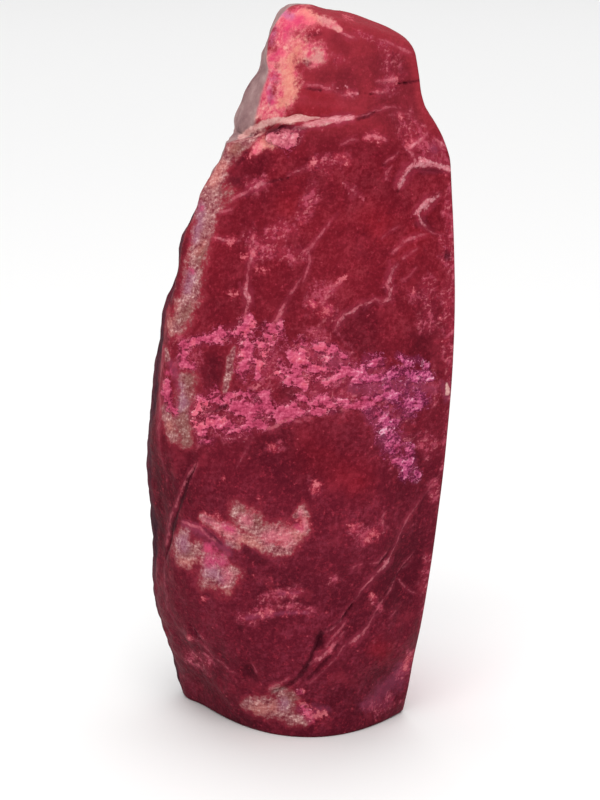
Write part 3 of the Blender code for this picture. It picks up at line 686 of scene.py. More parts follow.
def frame_place(points):
    """Column and row of each point in the drawing frame: a pinhole view of the stone, raised by VIEW_RISE."""
    back = np.array([0.0, -math.cos(VIEW_RISE), math.sin(VIEW_RISE)])
    up = np.array([0.0, math.sin(VIEW_RISE), math.cos(VIEW_RISE)])
    offset = points - (np.array(VIEW_AIM) + VIEW_DISTANCE * back)
    spread = FRAME_SIZE[1] * VIEW_LENS / SENSOR / -(offset @ back)
    column = FRAME_SIZE[0] / 2 + spread * offset[..., 0]
    row = FRAME_SIZE[1] / 2 - spread * (offset @ up)
    return np.stack([column, row], -1)


def by_segment(place, start, end):
    """Share of the way along a segment, distance across its line and distance past its ends.

    The first is a dot product over the length, the second a cross product, positive on the segment's right.
    """
    way = end - start
    length = np.hypot(way[0], way[1])
    way = way / length
    offset = place - start
    run = offset @ way
    across = way[0] * offset[..., 1] - way[1] * offset[..., 0]
    past = np.maximum(np.maximum(-run, run - length), 0)
    return run / length, across, past


def between(share, start, end):
    """Value at a share of the way from start to end, held at both."""
    return start + (end - start) * np.clip(share, 0, 1)


def stroke_points(stroke):
    """The (column, row, half-width) points of a stroke, one to a row."""
    return np.reshape(stroke, (-1, 3)).astype(float)


def cover(place, strokes):
    """Greatest over the strokes of 1 - distance / half-width: 1 on a stroke, 0 at its edge, -1 far off."""
    field = np.full(place.shape[:-1], -1.0)
    for stroke in strokes:
        points = stroke_points(stroke)
        if len(points) == 1:
            points = points + [(0, 0, 0), (DOT_LENGTH, 0, 0)]
        reach = 2 * points[:, 2].max()
        low = points[:, :2].min(0) - reach
        high = points[:, :2].max(0) + reach
        near = np.all((place > low) & (place < high), axis=-1)
        spot = place[near]
        best = field[near]
        for start, end in zip(points[:-1], points[1:]):
            share, across, past = by_segment(spot, start[:2], end[:2])
            best = np.maximum(best, 1 - np.hypot(across, past) / between(share, start[2], end[2]))
        field[near] = best
    return field


def ridge(place, lines, margin):
    """Rounded profile along lines: the square of their cover, with each half-width grown by a margin."""
    wide = [stroke_points(line) + (0, 0, margin) for line in lines]
    return np.clip(cover(place, wide), 0, 1) ** 2


def line_corners(place, lines):
    """Distance across the line nearest each face, at its corners and in half-widths, and the line's strength.

    Every corner of a face measures from the same segment, so a thin line stays true inside a face. The
    strength grows with the half-width up to LINE_FULL, and falls to 0 over LINE_FADE past a line's ends.
    """
    gap = np.full(place.shape[:2], LINE_FAR)
    strength = np.zeros(place.shape[:2])
    nearest = np.full(len(place), LINE_FAR)
    middle = place.mean(1)
    for line in lines:
        points = stroke_points(line)
        last = len(points) - 2
        for k, (start, end) in enumerate(zip(points[:-1], points[1:])):
            low = np.minimum(start, end)[:2] - LINE_REACH
            high = np.maximum(start, end)[:2] + LINE_REACH
            near = np.flatnonzero(np.all((middle > low) & (middle < high), axis=-1))
            share, across, past = by_segment(middle[near], start[:2], end[:2])
            distance = np.hypot(across, past) / between(share, start[2], end[2])
            closer = distance < nearest[near]
            near = near[closer]
            nearest[near] = distance[closer]
            share, across, past = by_segment(place[near], start[:2], end[:2])
            gap[near] = across / between(share, start[2], end[2])
            open_end = ((share < 0) & (k == 0)) | ((share > 1) & (k == last))
            width = between(share, start[2], end[2])
            ended = np.clip(past / LINE_FADE, 0, 1) * open_end
            strength[near] = (1 - ended) * np.clip(width / LINE_FULL, 0, 1)
    return np.clip(gap, -LINE_FAR, LINE_FAR), strength


def flake(place, line, side, depth, reach):
    """Height of one old flake scar: 0 on one side of its edge, on the other a step that heals over reach."""
    points = np.array(line, float)
    nearest = np.full(place.shape[:-1], np.inf)
    inside = np.zeros(place.shape[:-1])
    fade = np.ones(place.shape[:-1])
    for start, end in zip(points[:-1], points[1:]):
        share, across, past = by_segment(place, start, end)
        distance = np.hypot(across, past)
        closer = distance < nearest
        nearest = np.where(closer, distance, nearest)
        inside = np.where(closer, side * np.sign(across) * distance, inside)
        fade = np.where(closer, np.exp(-(past / FLAKE_FADE) ** 2), fade)
    return -depth * ease(-FLAKE_EDGE, FLAKE_EDGE, inside) * np.exp(-np.maximum(inside, 0) / reach) * fade


def dents(place):
    """Sum of the small hollows and knobs, each a bell of its own half-width and height."""
    height = np.zeros(place.shape[:-1])
    for column, row, width, rise in DENTS:
        away = ((place - (column, row)) ** 2).sum(-1)
        height += rise * np.exp(-away / width ** 2)
    return height


def drawn_share(u):
    """How much of the drawn marks a column takes: all on the face and the crease, none round the back."""
    return (1 - ease(*DRAWN_UNTIL, u)) * (u < 2)


# ---------------------------------------- the stone's mesh


def ring_places():
    """u of the columns round a ring, and v of the rings from the foot to the one next to the top's pole."""
    u = np.concatenate([side + np.arange(count) / count for side, count in enumerate(COLUMNS)])
    foot = FOOT_ROUND / HEIGHT
    v = np.concatenate([foot * np.arange(FOOT_ROWS) / FOOT_ROWS,
                        foot + (1 - foot) * np.arange(SLAB_ROWS) / SLAB_ROWS,
                        1 + LEDGE_V * np.arange(LEDGE_ROWS) / LEDGE_ROWS,
                        1 + LEDGE_V + (1 - LEDGE_V) * np.arange(HEAD_ROWS) / HEAD_ROWS,
                        2 + np.arange(TOP_ROWS) / TOP_ROWS])
    return np.meshgrid(u, v)


def waves_of(bands, points):
    """Sum of bands of waves, each a (wavelength, height, seed)."""
    return sum(size * waves(points, wavelength, seed) for wavelength, size, seed in bands)


def relief(points, u, v, place):
    """Height of the relief in millimetres, none on the sawn side and the foot.

    The sum of the solid's own waves and knobs, finer grain, the flank's ribs, and what is drawn: flake scars,
    cracks cut in, veins and the crust standing proud, and the dents.
    """
    broken = ease(*RELIEF_FROM_RIM, u) * ease(*RELIEF_FROM_SAW, u) * ease(*RELIEF_FROM_FOOT, v)
    rind = ease(*KNOBS_FROM, u)
    z = points[..., 2]
    form = waves_of(SKIN_WAVES, points) + rind * waves_of(RIND_KNOBS, points)
    grain = waves_of(FACE_GRAIN, points) + rind * waves_of(RIND_GRAIN, points)
    turn, wavelength, seed = RIB_WAVER
    ribs = (RIB_HEIGHT * np.sin(2 * math.pi * z / RIB_STEP + turn * waves(points, wavelength, seed))
            * ease(*RIB_Z, z) * ease(*RIB_FROM, u) * ease(*RIB_UNTIL, u))
    drawn = dents(place) + VEIN_HEIGHT * ridge(place, VEINS, VEIN_MARGIN)
    drawn -= CRACK_DEPTH * ridge(place, CRACKS, CRACK_MARGIN)
    wavelength, share, seed = CRUST_GRAIN
    crust = ease(*CRUST_EDGE, cover(place, COVERS["crust"]))
    drawn += CRUST_HEIGHT * crust * (1 + share * waves(points, wavelength, seed))
    for line, side, depth, reach in FLAKES:
        drawn += flake(place, line, side, depth, reach)
    form = form * (1 - TOP_CALM * ease(*TOP_CALM_V, v))
    return broken * (form + grain + ribs + drawn * drawn_share(u))


def grid_faces(rows, columns):
    """Quads between neighbouring rings, closed round each ring, facing outwards."""
    k = np.arange(rows * columns).reshape(rows, columns)
    after = np.roll(k, -1, axis=1)
    return np.stack([k[:-1], k[1:], after[1:], after[:-1]], -1).reshape(-1, 4)


def fan(ring, tip):
    """Triangles from each edge of a ring to one point."""
    return np.stack([ring, np.roll(ring, -1), np.full(len(ring), tip)], -1)


def fit_to_box(points):
    """Stretch the points a hair, so that they fill exactly the box of the solid that they stand for."""
    low, high = (np.array(corner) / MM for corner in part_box("agate_geode"))
    own_low = points.min(0)
    return low + (points - own_low) * (high - low) / (points.max(0) - own_low)


def add_attribute(mesh, name, domain, values):
    """Add a field of plain numbers to the mesh, one for each point or corner."""
    mesh.attributes.new(name, "FLOAT", domain).data.foreach_set("value", values.astype(np.float32).ravel())


def stone_fields(form, u, height, place):
    """The finish's point fields: covers of the drawn strokes, and where rind, notch, relief and saw cut lie.

    The gap to the saw cut is the distance in x from the sawn plane, held at SAW_GAP_MOST.
    """
    share = drawn_share(u)
    y, z = form[..., 1], form[..., 2]
    fields = {name: (cover(place, strokes) + 1) * share - 1 for name, strokes in COVERS.items()}
    start = curve(z, RIND_FROM)
    fields["rind"] = ease(start, start + RIND_BLEND, u) * (u < 2)
    fields["notch"] = ease(*NOTCH_FROM, u) * ease(*NOTCH_UNTIL, u) * ease(*NOTCH_Z, z)
    fields["proud"] = height
    plane = SAWN_X + SAWN_LEAN * (z - SAWN_AT[1]) - SAWN_TURN * (y - SAWN_AT[0])
    fields["saw_gap"] = np.clip(plane - form[..., 0], 0, SAW_GAP_MOST)
    return fields


def stone_mesh():
    """The stone: rings joined by quads, a flat foot closed on its middle and a top closed on its pole.

    Its points are the form moved along its normal by the relief. The normal is the cross product of the
    differences between neighbours.
    """
    u, v = ring_places()
    form = skin(u, v)
    normal = np.cross(np.roll(form, -1, axis=1) - np.roll(form, 1, axis=1), np.gradient(form, axis=0))
    normal /= -np.linalg.norm(normal, axis=-1, keepdims=True)
    place = frame_place(form - np.array([CENTRE[0], CENTRE[1], 0.0]))
    height = relief(form, u, v, place)
    rings = form + normal * height[..., None]
    foot = [rings[0, :, 0].mean(), rings[0, :, 1].mean(), 0.0]
    pole = rings[-1].mean(0)
    points = np.concatenate([rings.reshape(-1, 3), [foot, pole]])

    rows, columns = u.shape
    quads = grid_faces(rows, columns)
    first = np.arange(columns)
    last = first + (rows - 1) * columns
    fans = np.concatenate([fan(first, rows * columns), fan(last[::-1], rows * columns + 1)])
    mesh = bpy.data.meshes.new("agate_geode_stone")
    mesh.from_pydata(fit_to_box(points) * MM, [], quads.tolist() + fans.tolist())
    mesh.shade_smooth()
    mesh.set_sharp_from_angle(angle=math.radians(SHARP_ANGLE))

    for name, values in stone_fields(form, u, height, place).items():
        add_attribute(mesh, name, "POINT", np.append(values, [values[0].mean(), values[-1].mean()]))
    corner_place = place.reshape(-1, 2)[quads]
    corner_share = drawn_share(u).reshape(-1)[quads]
    rest = 3 * len(fans)
    for name, lines in (("vein", VEINS), ("crack", CRACKS)):
        gap, strength = line_corners(corner_place, lines)
        add_attribute(mesh, name, "CORNER", np.append(gap, np.full(rest, LINE_FAR)))
        add_attribute(mesh, name + "_strength", "CORNER", np.append(strength * corner_share, np.zeros(rest)))
    return mesh


# ---------------------------------------- shader maths


def paint(red, green, blue):
    """Linear colour of a display colour: each channel by the two-part display curve."""
    linear = [(c / 255 / 12.92) if c / 255 <= 0.04045 else ((c / 255 + 0.055) / 1.055) ** 2.4
              for c in (red, green, blue)]
    return (*linear, 1.0)


class Value:
    """A shader socket that Python's operators act on: each operator adds one Math node."""

    def __init__(self, finish, socket):
        self.finish = finish
        self.socket = socket

    def math(self, operation, *others):
        """One Math node on this value and the others, in their order."""
        return self.finish.node("ShaderNodeMath", {"operation": operation}, dict(enumerate((self,) + others)))

    def __add__(self, other):
        return self.math("ADD", other)

    __radd__ = __add__

    def __sub__(self, other):
        return self.math("SUBTRACT", other)

    def __rsub__(self, other):
        return self.finish.node("ShaderNodeMath", {"operation": "SUBTRACT"}, {0: other, 1: self})

    def __mul__(self, other):
        return self.math("MULTIPLY", other)

    __rmul__ = __mul__

    def __truediv__(self, other):
        return self.math("DIVIDE", other)

    def __pow__(self, other):
        return self.math("POWER", other)

    def clipped(self):
        """Held between 0 and 1."""
        return self.finish.node("ShaderNodeClamp", {}, {"Value": self})

    def step(self, start, end):
        """Smooth step from 0 at start to 1 at end, where end may be below start."""
        return self.finish.node("ShaderNodeMapRange", {"interpolation_type": "SMOOTHSTEP"},
                                {"Value": self, "From Min": start, "From Max": end})


class Finish:
    """A material being built: its nodes, and the coordinates in millimetres that its patterns read."""

    def __init__(self, name):
        self.material = bpy.data.materials.new(name)
        self.material.use_nodes = True
        self.nodes = self.material.node_tree.nodes
        self.links = self.material.node_tree.links
        self.shader = self.nodes["Principled BSDF"]
        coordinates = self.node("ShaderNodeTexCoord", {}, {}, "Object")
        self.place = self.node("ShaderNodeVectorMath", {"operation": "SCALE"},
                               {"Vector": coordinates, "Scale": 1 / MM}, "Vector")

    def put(self, socket, value):
        """Link a value to a socket, or set a plain number or vector, or a colour by its name, on it."""
        if isinstance(value, Value):
            self.links.new(value.socket, socket)
        elif isinstance(value, str):
            socket.default_value = paint(*PAINTS[value])
        else:
            socket.default_value = value

    def node(self, kind, settings, inputs, output=0):
        """Add a node: its settings first, then the values or links of its sockets. Returns one output."""
        made = self.nodes.new(kind)
        for name, setting in settings.items():
            if name == "stops":
                ramp = made.color_ramp.elements
                while len(ramp) < len(setting):
                    ramp.new(0.5)
                for element, (at, *colour) in zip(ramp, setting):
                    element.position = at
                    element.color = paint(*colour)
            else:
                setattr(made, name, setting)
        for name, value in inputs.items():
            self.put(made.inputs[name], value)
        return Value(self, made.outputs[output])

    def attribute(self, name):
        """A field of the mesh, by its name."""
        return self.node("ShaderNodeAttribute", {"attribute_name": name}, {}, "Fac")

    def noise(self, size, detail, roughness, shift, apart=(0.0, 0.0, 0.0), squeeze=(1.0, 1.0, 1.0)):
        """Fractal noise about 0, mostly within 1 each way, with features of a size in millimetres.

        Each shift gives another field. Apart is how far from the shaded point it is read, in millimetres.
        Squeeze packs the features closer along an axis, or draws them out where it is below 1. The node's
        output is centred, and stretched the more the finer its detail, which narrows its spread.
        """
        scale = [pressed / size for pressed in squeeze]
        start = [(turn * shift + step) * pressed for turn, step, pressed in zip((1, 2, -1), apart, scale)]
        moved = self.node("ShaderNodeVectorMath", {"operation": "MULTIPLY_ADD"},
                          {0: self.place, 1: scale, 2: start}, "Vector")
        made = self.node("ShaderNodeTexNoise", {}, {"Vector": moved, "Scale": 1.0, "Detail": detail,
                                                    "Roughness": roughness}, "Fac")
        return (made - 0.5) * (NOISE_STRETCH[0] + NOISE_STRETCH[1] * detail)

    def mix(self, share, under, over):
        """Colour under where share is 0, over where it is 1."""
        made = self.nodes.new("ShaderNodeMix")
        made.data_type = "RGBA"
        for socket, value in ((made.inputs[0], share), (made.inputs[6], under), (made.inputs[7], over)):
            self.put(socket, value)
        return Value(self, made.outputs[2])

    def ramp(self, at, name):
        """Colour at a place, held between 0 and 1, on a named run of colours."""
        return self.node("ShaderNodeValToRGB", {"stops": RAMPS[name]}, {"Fac": at.clipped()}, "Color")


# ---------------------------------------- the stone's finish


def lit(f, size, shift, squeeze=(1.0, 1.0, 1.0)):
    """Painted light and shade of small relief lit from LIT_WAY: a noise less the same noise read a little
    that way, about 0.
    """
    return f.noise(size, 5, 0.68, shift, squeeze=squeeze) - f.noise(size, 5, 0.68, shift, LIT_WAY, squeeze)


def broken_stone(f, z):
    """Colour of the broken face: wine below to crimson above, partly painted light, mottled, redder where it
    broke clean.

    Depth is a sum of noises about one half, the scales' share of it painted light and shade. Painted shade is
    laid on where strokes or the relief's hollows say, and along the foot's edge. Its scales are small relief
    in the stone, which the flecks follow too.
    """
    patches = f.noise(20.0, 2, 0.5, 3.0)
    mottle = f.noise(4.5, 5, 0.62, 11.0)
    grain = f.noise(0.8, 4, 0.7, 17.0)
    scales = lit(f, 1.8, 19.0)
    depth = 0.5 + 0.06 * patches + 0.075 * mottle + 0.11 * grain + 0.09 * scales
    # Lighter upwards, through crimson to the head's red: partly the stone's own colour, partly painted light
    # from above.
    stone = f.mix(z.step(*CRIMSON_Z), f.ramp(depth, "wine"), f.ramp(depth, "crimson"))
    stone = f.mix(0.55 * z.step(*HEAD_Z), stone, "head")
    clear = (f.attribute("clear") + 0.25 * mottle).step(-0.5, 1.0)
    stone = f.mix(0.45 * clear, stone, f.ramp(depth, "clear"))
    # Darker in broad places, among them painted shade in the hollow below the upper right flake scar.
    dusk = (f.attribute("dusk") + 0.4 * mottle).step(-0.7, 1.0)
    stone = f.mix(0.32 * dusk, stone, "dusk")
    # Painted shade, and deep maroon bare stone, where the shade strokes lie.
    dark = (f.attribute("shade") + 0.25 * mottle + 0.12 * grain).step(-0.4, 0.9)
    stone = f.mix(0.6 * dark, stone, "shade")
    # Painted shade in the relief's hollows.
    hollow = (f.attribute("proud") + 0.08 * grain).step(-0.15, -0.9)
    stone = f.mix(0.4 * hollow, stone, "hollow")
    # Painted shade along the foot's edge, where the stone curves under.
    return f.mix(0.28 * (z + 1.5 * mottle).step(*FOOT_SHADE_Z), stone, "foot"), scales


def squiggles(f, size, shift, width):
    """Thin curly threads: the places where a noise crosses zero, 1 on the thread and 0 beyond its width."""
    crossing = f.noise(size, 3, 0.6, shift)
    return crossing.math("ABSOLUTE").step(width, 0.25 * width)


def flecked(f, under, scales):
    """The broken face with its pink veil and painted highlights, threads, flecks, and its scales' painted
    light and shade.
    """
    cloud = f.noise(3.4, 4, 0.6, 23.0)
    fleck = f.noise(1.2, 4, 0.62, 29.0)
    drawn = f.attribute("veil")
    # The veil, with the painted highlights drawn among its strokes.
    veil = (drawn + 0.5 * cloud).step(-0.5, 1.1)
    stone = f.mix(0.36 * veil, under, "veil")
    drift = (drawn + 0.6 * cloud).step(-0.3, 0.8)
    thread = squiggles(f, 2.3, 33.0, 0.26) * (fleck + cloud).step(-0.5, 0.6)
    bright = (fleck + 0.3 * cloud).step(0.2, 0.8)
    stone = f.mix(0.5 * drift * (0.6 * thread).math("MAXIMUM", bright), stone, "fleck")
    blotch = f.noise(6.0, 4, 0.6, 31.0).step(0.4, 1.4)
    stone = f.mix(0.2 * blotch, stone, "blotch")
    # Painted highlight and shadow on the sides of the scales towards and away from the light.
    stone = f.mix(0.6 * drift * scales.step(0.3, 1.0), stone, "scale_highlight")
    stone = f.mix((0.08 + 0.3 * drift) * scales.step(-0.35, -1.1), stone, "scale_shadow")
    speck = (fleck + 0.5 * cloud).step(1.2, 1.7)
    return f.mix(0.2 * speck, stone, "speck")


def marbled(f, under, name, edge, body, strength, holes):
    """A drawn patch laid on with a soft gritty edge: the body where it covers, a salmon stain round it."""
    rag = f.noise(2.2, 5, 0.66, edge)
    grit = f.noise(0.7, 3, 0.7, edge + 2)
    drawn = f.attribute(name)
    halo = (drawn + 0.3 * rag).step(-0.95, 0.25)
    mask = (drawn + 0.28 * rag + 0.18 * grit).step(-0.3, 0.5)
    stone = f.mix(0.5 * halo, under, "halo")
    stone = f.mix(strength * mask, stone, body)
    hole = (grit + 0.35 * rag).step(0.35, 1.0)
    return f.mix(holes * hole * mask, stone, "hole"), mask


def with_stains(f, body, stains, *unrest):
    """A patch's body with its drawn stains laid on: each mark plus the unrest, through a soft step."""
    for name, colour, most in stains:
        share = sum(unrest, f.attribute(name)).step(*STAIN_EDGE)
        body = f.mix(most * share, body, paint(*colour))
    return body


def sandy(f, under):
    """The pale, gritty inner rind where it shows through: peach, olive, lilac and pink stains, painted light
    and shade on its facets.
    """
    tone = f.noise(2.6, 5, 0.66, 43.0)
    grain = f.noise(0.5, 2, 0.7, 41.0)
    facet = lit(f, 1.5, 45.0)
    # Its tone takes the painted light and shade of its facets.
    body = f.ramp(0.46 + 0.17 * tone + 0.15 * grain + 0.28 * facet, "sand")
    body = with_stains(f, body, SAND_STAINS, 0.35 * tone, 0.25 * grain)
    # Painted highlight and shadow where the facets face towards or away from the light.
    side = facet + 0.2 * grain
    body = f.mix(0.25 * side.step(0.3, 1.1), body, "sand_highlight")
    body = f.mix(0.3 * side.step(-0.3, -1.1), body, "sand_shadow")
    return marbled(f, under, "sand", 37.0, body, 0.9, 0.4)


def blushed(f, under):
    """Cream and pink marbling of the head's left side, its tone partly painted light and shade of small
    relief.
    """
    tone = f.noise(2.8, 5, 0.68, 131.0)
    swirl = f.noise(1.3, 3, 0.6, 137.0)
    body = f.ramp(0.48 + 0.17 * tone + 0.1 * swirl + 0.24 * lit(f, 2.2, 143.0), "blush")
    body = f.mix(0.4 * squiggles(f, 3.0, 145.0, 0.3), body, "blush_thread")
    body = with_stains(f, body, BLUSH_STAINS, 0.45 * tone, 0.3 * swirl)
    return marbled(f, under, "blush", 139.0, body, 0.94, 0.12)


def stained(f, under, pale):
    """Lilac, hot pink and salmon stains on the stone outside the pale patches."""
    edge = f.noise(1.5, 5, 0.7, 47.0)
    bare = 1 - pale
    lilac = (f.attribute("lilac") + 0.35 * edge).step(-0.5, 1.1) * bare
    stone = f.mix(0.5 * lilac, under, "lilac")
    hot = (f.attribute("magenta") + 0.35 * edge).step(-0.35, 0.9) * bare
    stone = f.mix((0.65 + 0.3 * edge) * hot, stone, "hot_pink")
    rose = f.attribute("rose") + 0.4 * edge + 0.9 * f.noise(0.7, 3, 0.7, 149.0)
    stone = f.mix(0.45 * rose.step(-0.9, 0.6) * bare, stone, "rose_ground")
    return f.mix(0.7 * rose.step(0.2, 1.0) * bare, stone, f.ramp(0.5 + 0.3 * edge, "rose"))


def crusted(f, under):
    """Pink chalky crust: ragged sheets with holes, fringed with threads, lacier and violet to the right.

    Its small relief is lit from LIT_WAY: the sheet's noise less the same noise read a little that way, which
    is bright where the crust falls towards the light. The edge away from the light casts a thin dark line.
    """
    x = f.node("ShaderNodeSeparateXYZ", {}, {0: f.place}, "X")
    lace = f.noise(2.8, 5, 0.64, 53.0, squeeze=CRUST_DRAWN)
    beyond = f.noise(2.8, 5, 0.64, 53.0, LIT_WAY, CRUST_DRAWN)
    tone = f.noise(4.0, 4, 0.6, 61.0)
    grit = f.noise(0.6, 3, 0.7, 57.0)
    drawn = f.attribute("crust")
    right = (x + 5 * tone).step(*VIOLET_X)
    bar = 0.1 + 0.1 * right
    sheet = (drawn + 0.75 * lace - bar).step(0.0, 0.24)
    above = (drawn + 0.75 * beyond - bar).step(0.0, 0.24)
    hole = (f.noise(1.9, 4, 0.6, 59.0, squeeze=CRUST_DRAWN) - 0.3 * drawn + 0.2 * right).step(0.25, 0.55)
    thread = squiggles(f, 1.5, 63.0, 0.24) * (drawn + 0.55 * lace + 0.25 * right).step(-0.7, 0.05)
    near = drawn.step(-0.99, -0.75)
    mask = (sheet * (1 - 0.85 * hole)).math("MAXIMUM", (0.75 + 0.2 * right) * thread) * near
    haze = (drawn + 0.5 * tone).step(-0.9, 0.7) * near
    shadow = ((0.2 * (drawn + 0.3 * lace).step(-1.0, 0.2) + 0.5 * above) * (1 - mask)).clipped() * near
    stone = f.mix(0.28 * haze, under, f.mix(right, "haze_left", "haze_right"))
    stone = f.mix(shadow, stone, f.mix(right, "under_left", "under_right"))
    light = (0.36 + 0.10 * right) * (lace - beyond)
    level = 0.47 + light + 0.14 * tone + (0.12 + 0.08 * right) * grit
    pink = f.mix(0.4 * tone.step(0.0, 1.0), f.ramp(level, "crust_pink"), "crust_salmon")
    pale = (f.attribute("peach") + 0.3 * tone).step(-0.6, 0.5)
    pink = f.mix(0.75 * pale, pink, f.ramp(level, "crust_pale"))
    return f.mix(0.95 * mask, stone, f.mix(0.9 * right, pink, f.ramp(level, "crust_violet"))), mask


def lined(f, under):
    """Chalky ledge, pale veins and worn edges with a pink glow, and dark open cracks."""
    wobble = f.noise(2.2, 4, 0.65, 67.0)
    ragged = f.noise(0.7, 3, 0.7, 69.0)
    gaps = f.noise(2.4, 4, 0.7, 71.0)
    chalk = (f.attribute("chalk") + 0.25 * wobble + 0.15 * ragged).step(-0.2, 0.5)
    stone = f.mix(0.9 * chalk, under, f.ramp(0.5 + 0.2 * ragged + 0.16 * gaps, "chalk"))
    gap = f.attribute("vein") + 0.7 * wobble + 0.2 * ragged
    shown = f.attribute("vein_strength")
    glow = (gap * gap).step(16.0, 0.0) * shown
    stone = f.mix(0.4 * glow, stone, "vein_glow")
    vein = (gap * gap).step(2.0, 0.0) * shown * (gaps + 0.4 * ragged + 1.5 * shown).step(-0.2, 1.4)
    stone = f.mix(0.9 * vein, stone, f.ramp(0.55 * shown + 0.12 + 0.2 * ragged, "vein"))
    gap = f.attribute("crack") + 0.6 * wobble + 0.25 * ragged
    crack = (gap * gap).step(2.4, 0.0) * f.attribute("crack_strength")
    return f.mix(0.6 * crack, stone, "crack"), vein


def rind_colour(f):
    """Natural rind round the back: plum and mauve, stained with the dye, paler on its worn knobs, darker in
    its dips as painted shade.
    """
    patches = f.noise(13.0, 4, 0.6, 73.0)
    grain = f.noise(1.6, 5, 0.7, 79.0)
    knob = f.attribute("proud")
    # Paler on worn knobs; darker in the dips, a painted shade.
    rind = f.ramp(0.42 + 0.07 * patches + 0.13 * grain + 0.25 * knob, "rind")
    dyed = (f.noise(19.0, 3, 0.55, 83.0) + 0.2 * grain).step(-0.3, 1.2)
    return f.mix(0.6 * dyed, rind, "dye")


def notch_colour(f):
    """Grey-mauve skin at the side of the head."""
    return f.ramp(0.5 + 0.2 * f.noise(4.0, 5, 0.65, 89.0), "notch")


def polished_colour(f, z):
    """Sawn and polished side: agate bands that follow the stone's outline, round a heart of pale quartz."""
    y = f.node("ShaderNodeSeparateXYZ", {}, {0: f.place}, "Y")
    across = ((y - SAWN_MIDDLE[0]) / SAWN_HALF[0]).math("ABSOLUTE")
    climb = ((z - SAWN_MIDDLE[1]) / SAWN_HALF[1]).math("ABSOLUTE")
    level = (across ** SAWN_POWERS[0] + climb ** SAWN_POWERS[1]) ** SAWN_POWERS[2]
    level = level + 0.045 * f.noise(26.0, 2, 0.5, 97.0) + 0.008 * f.noise(7.0, 3, 0.5, 101.0)
    band = f.node("ShaderNodeTexNoise", {"noise_dimensions": "1D"},
                  {"W": level * AGATE_BANDS, "Scale": 1.0, "Detail": 3.0, "Roughness": 0.7}, "Fac")
    agate = f.ramp(level + 0.9 * (band - 0.5), "agate")
    quartz = (f.noise(3.0, 3, 0.6, 103.0) * 0.05 + level).step(*QUARTZ_FADE)
    return f.mix(0.8 * quartz, agate, "quartz")


def stone_finish():
    """The whole stone: broken face, rind, notch, sand, stains, crust and lines, and the polished side."""
    f = Finish("dyed_agate_finish")
    z = f.node("ShaderNodeSeparateXYZ", {}, {0: f.place}, "Z")
    stone = flecked(f, *broken_stone(f, z))
    behind = f.attribute("rind")
    notch = f.attribute("notch")
    stone, sand = sandy(f, stone)
    stone, blush = blushed(f, stone)
    stone = stained(f, stone, sand.math("MAXIMUM", blush))
    stone, crust = crusted(f, stone)
    stone = f.mix((behind + 0.2 * f.noise(4.0, 4, 0.6, 107.0)).step(0.2, 0.8), stone, rind_colour(f))
    ragged = (0.1 + 0.4 * behind) * notch.step(0.0, 0.3) * f.noise(6.0, 6, 0.7, 109.0)
    stone = f.mix((notch + ragged).step(0.25, 0.75), stone, notch_colour(f))
    stone, vein = lined(f, stone)
    saw = f.attribute("saw_gap").step(0.35, 0.1)
    f.put(f.shader.inputs["Base Color"], f.mix(saw, stone, polished_colour(f, z)))

    grain = f.noise(0.9, 4, 0.7, 113.0)
    pits = f.noise(2.8, 5, 0.7, 127.0)
    rough = 0.5 + 0.03 * pits + 0.2 * sand + 0.15 * crust + 0.15 * behind
    f.put(f.shader.inputs["Roughness"], f.node("ShaderNodeMix", {}, {0: saw, 2: rough, 3: 0.10}))
    f.put(f.shader.inputs["Coat Weight"], 0.6 * saw)
    f.shader.inputs["Coat Roughness"].default_value = 0.04
    f.shader.inputs["Specular IOR Level"].default_value = 0.02

    height = (0.035 * pits + 0.018 * grain) * (1 + 0.8 * sand + 1.2 * behind) + 0.12 * crust + 0.05 * vein
    bump = f.node("ShaderNodeBump", {}, {"Height": height * (1 - saw), "Distance": MM, "Strength": 1.0},
                  "Normal")
    f.put(f.shader.inputs["Normal"], bump)
    return f.material


# ---------------------------------------- the scene


def add_stone():
    """The one piece: it stands for the solid, and rides the one body."""
    stone = bpy.data.objects.new("agate_geode_stone", stone_mesh())
    stone.data.materials.append(stone_finish())
    bpy.context.scene.collection.objects.link(stone)
    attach(stone, "root")
    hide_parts("agate_geode")


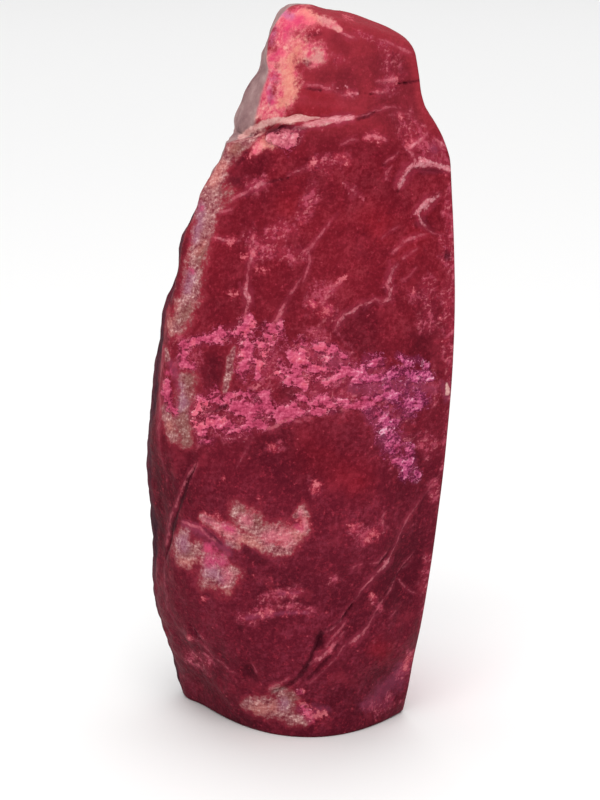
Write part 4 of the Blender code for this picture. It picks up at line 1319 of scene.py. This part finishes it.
def add_floor():
    """Plain round pale floor at the height of the foot."""
    turn = np.arange(FLOOR_SIDES) * 2 * math.pi / FLOOR_SIDES
    rim = np.stack([FLOOR_RADIUS * np.cos(turn), FLOOR_RADIUS * np.sin(turn), 0 * turn], -1)
    mesh = bpy.data.meshes.new("floor")
    mesh.from_pydata(rim.tolist(), [], [list(range(FLOOR_SIDES))])
    material = bpy.data.materials.new("floor")
    material.use_nodes = True
    shader = material.node_tree.nodes["Principled BSDF"]
    shader.inputs["Base Color"].default_value = FLOOR_COLOUR
    shader.inputs["Roughness"].default_value = 0.9
    shader.inputs["Specular IOR Level"].default_value = 0.1
    mesh.materials.append(material)
    floor = bpy.data.objects.new("floor", mesh)
    bpy.context.scene.collection.objects.link(floor)


def add_light(name, place, size, power, colour):
    """Square area light that looks at the stone's middle. Lengths are metres."""
    light = bpy.data.lights.new(name, "AREA")
    light.size = size
    light.energy = power
    light.color = colour
    lamp = bpy.data.objects.new(name, light)
    lamp.location = place
    lamp.rotation_euler = (Vector(LIGHT_AIM) - Vector(place)).to_track_quat("-Z", "Y").to_euler()
    bpy.context.scene.collection.objects.link(lamp)


def add_world():
    """Even white light from all round."""
    world = bpy.data.worlds.new("studio")
    world.use_nodes = True
    sky = world.node_tree.nodes["Background"]
    sky.inputs["Color"].default_value = WORLD_COLOUR
    sky.inputs["Strength"].default_value = WORLD_STRENGTH
    bpy.context.scene.world = world


def add_camera():
    """Camera at the drawing frame's own view."""
    camera = bpy.data.cameras.new("camera")
    camera.lens = VIEW_LENS
    camera.sensor_width = SENSOR
    seat = bpy.data.objects.new("camera", camera)
    back = Vector((0.0, -math.cos(VIEW_RISE), math.sin(VIEW_RISE)))
    seat.location = (Vector(VIEW_AIM) + VIEW_DISTANCE * back) * MM
    seat.rotation_euler = (-back).to_track_quat("-Z", "Y").to_euler()
    bpy.context.scene.collection.objects.link(seat)
    bpy.context.scene.camera = seat


add_camera()
add_stone()
add_floor()
for light in LIGHTS:
    add_light(*light)
add_world()
bpy.context.scene.view_settings.view_transform = "Standard"
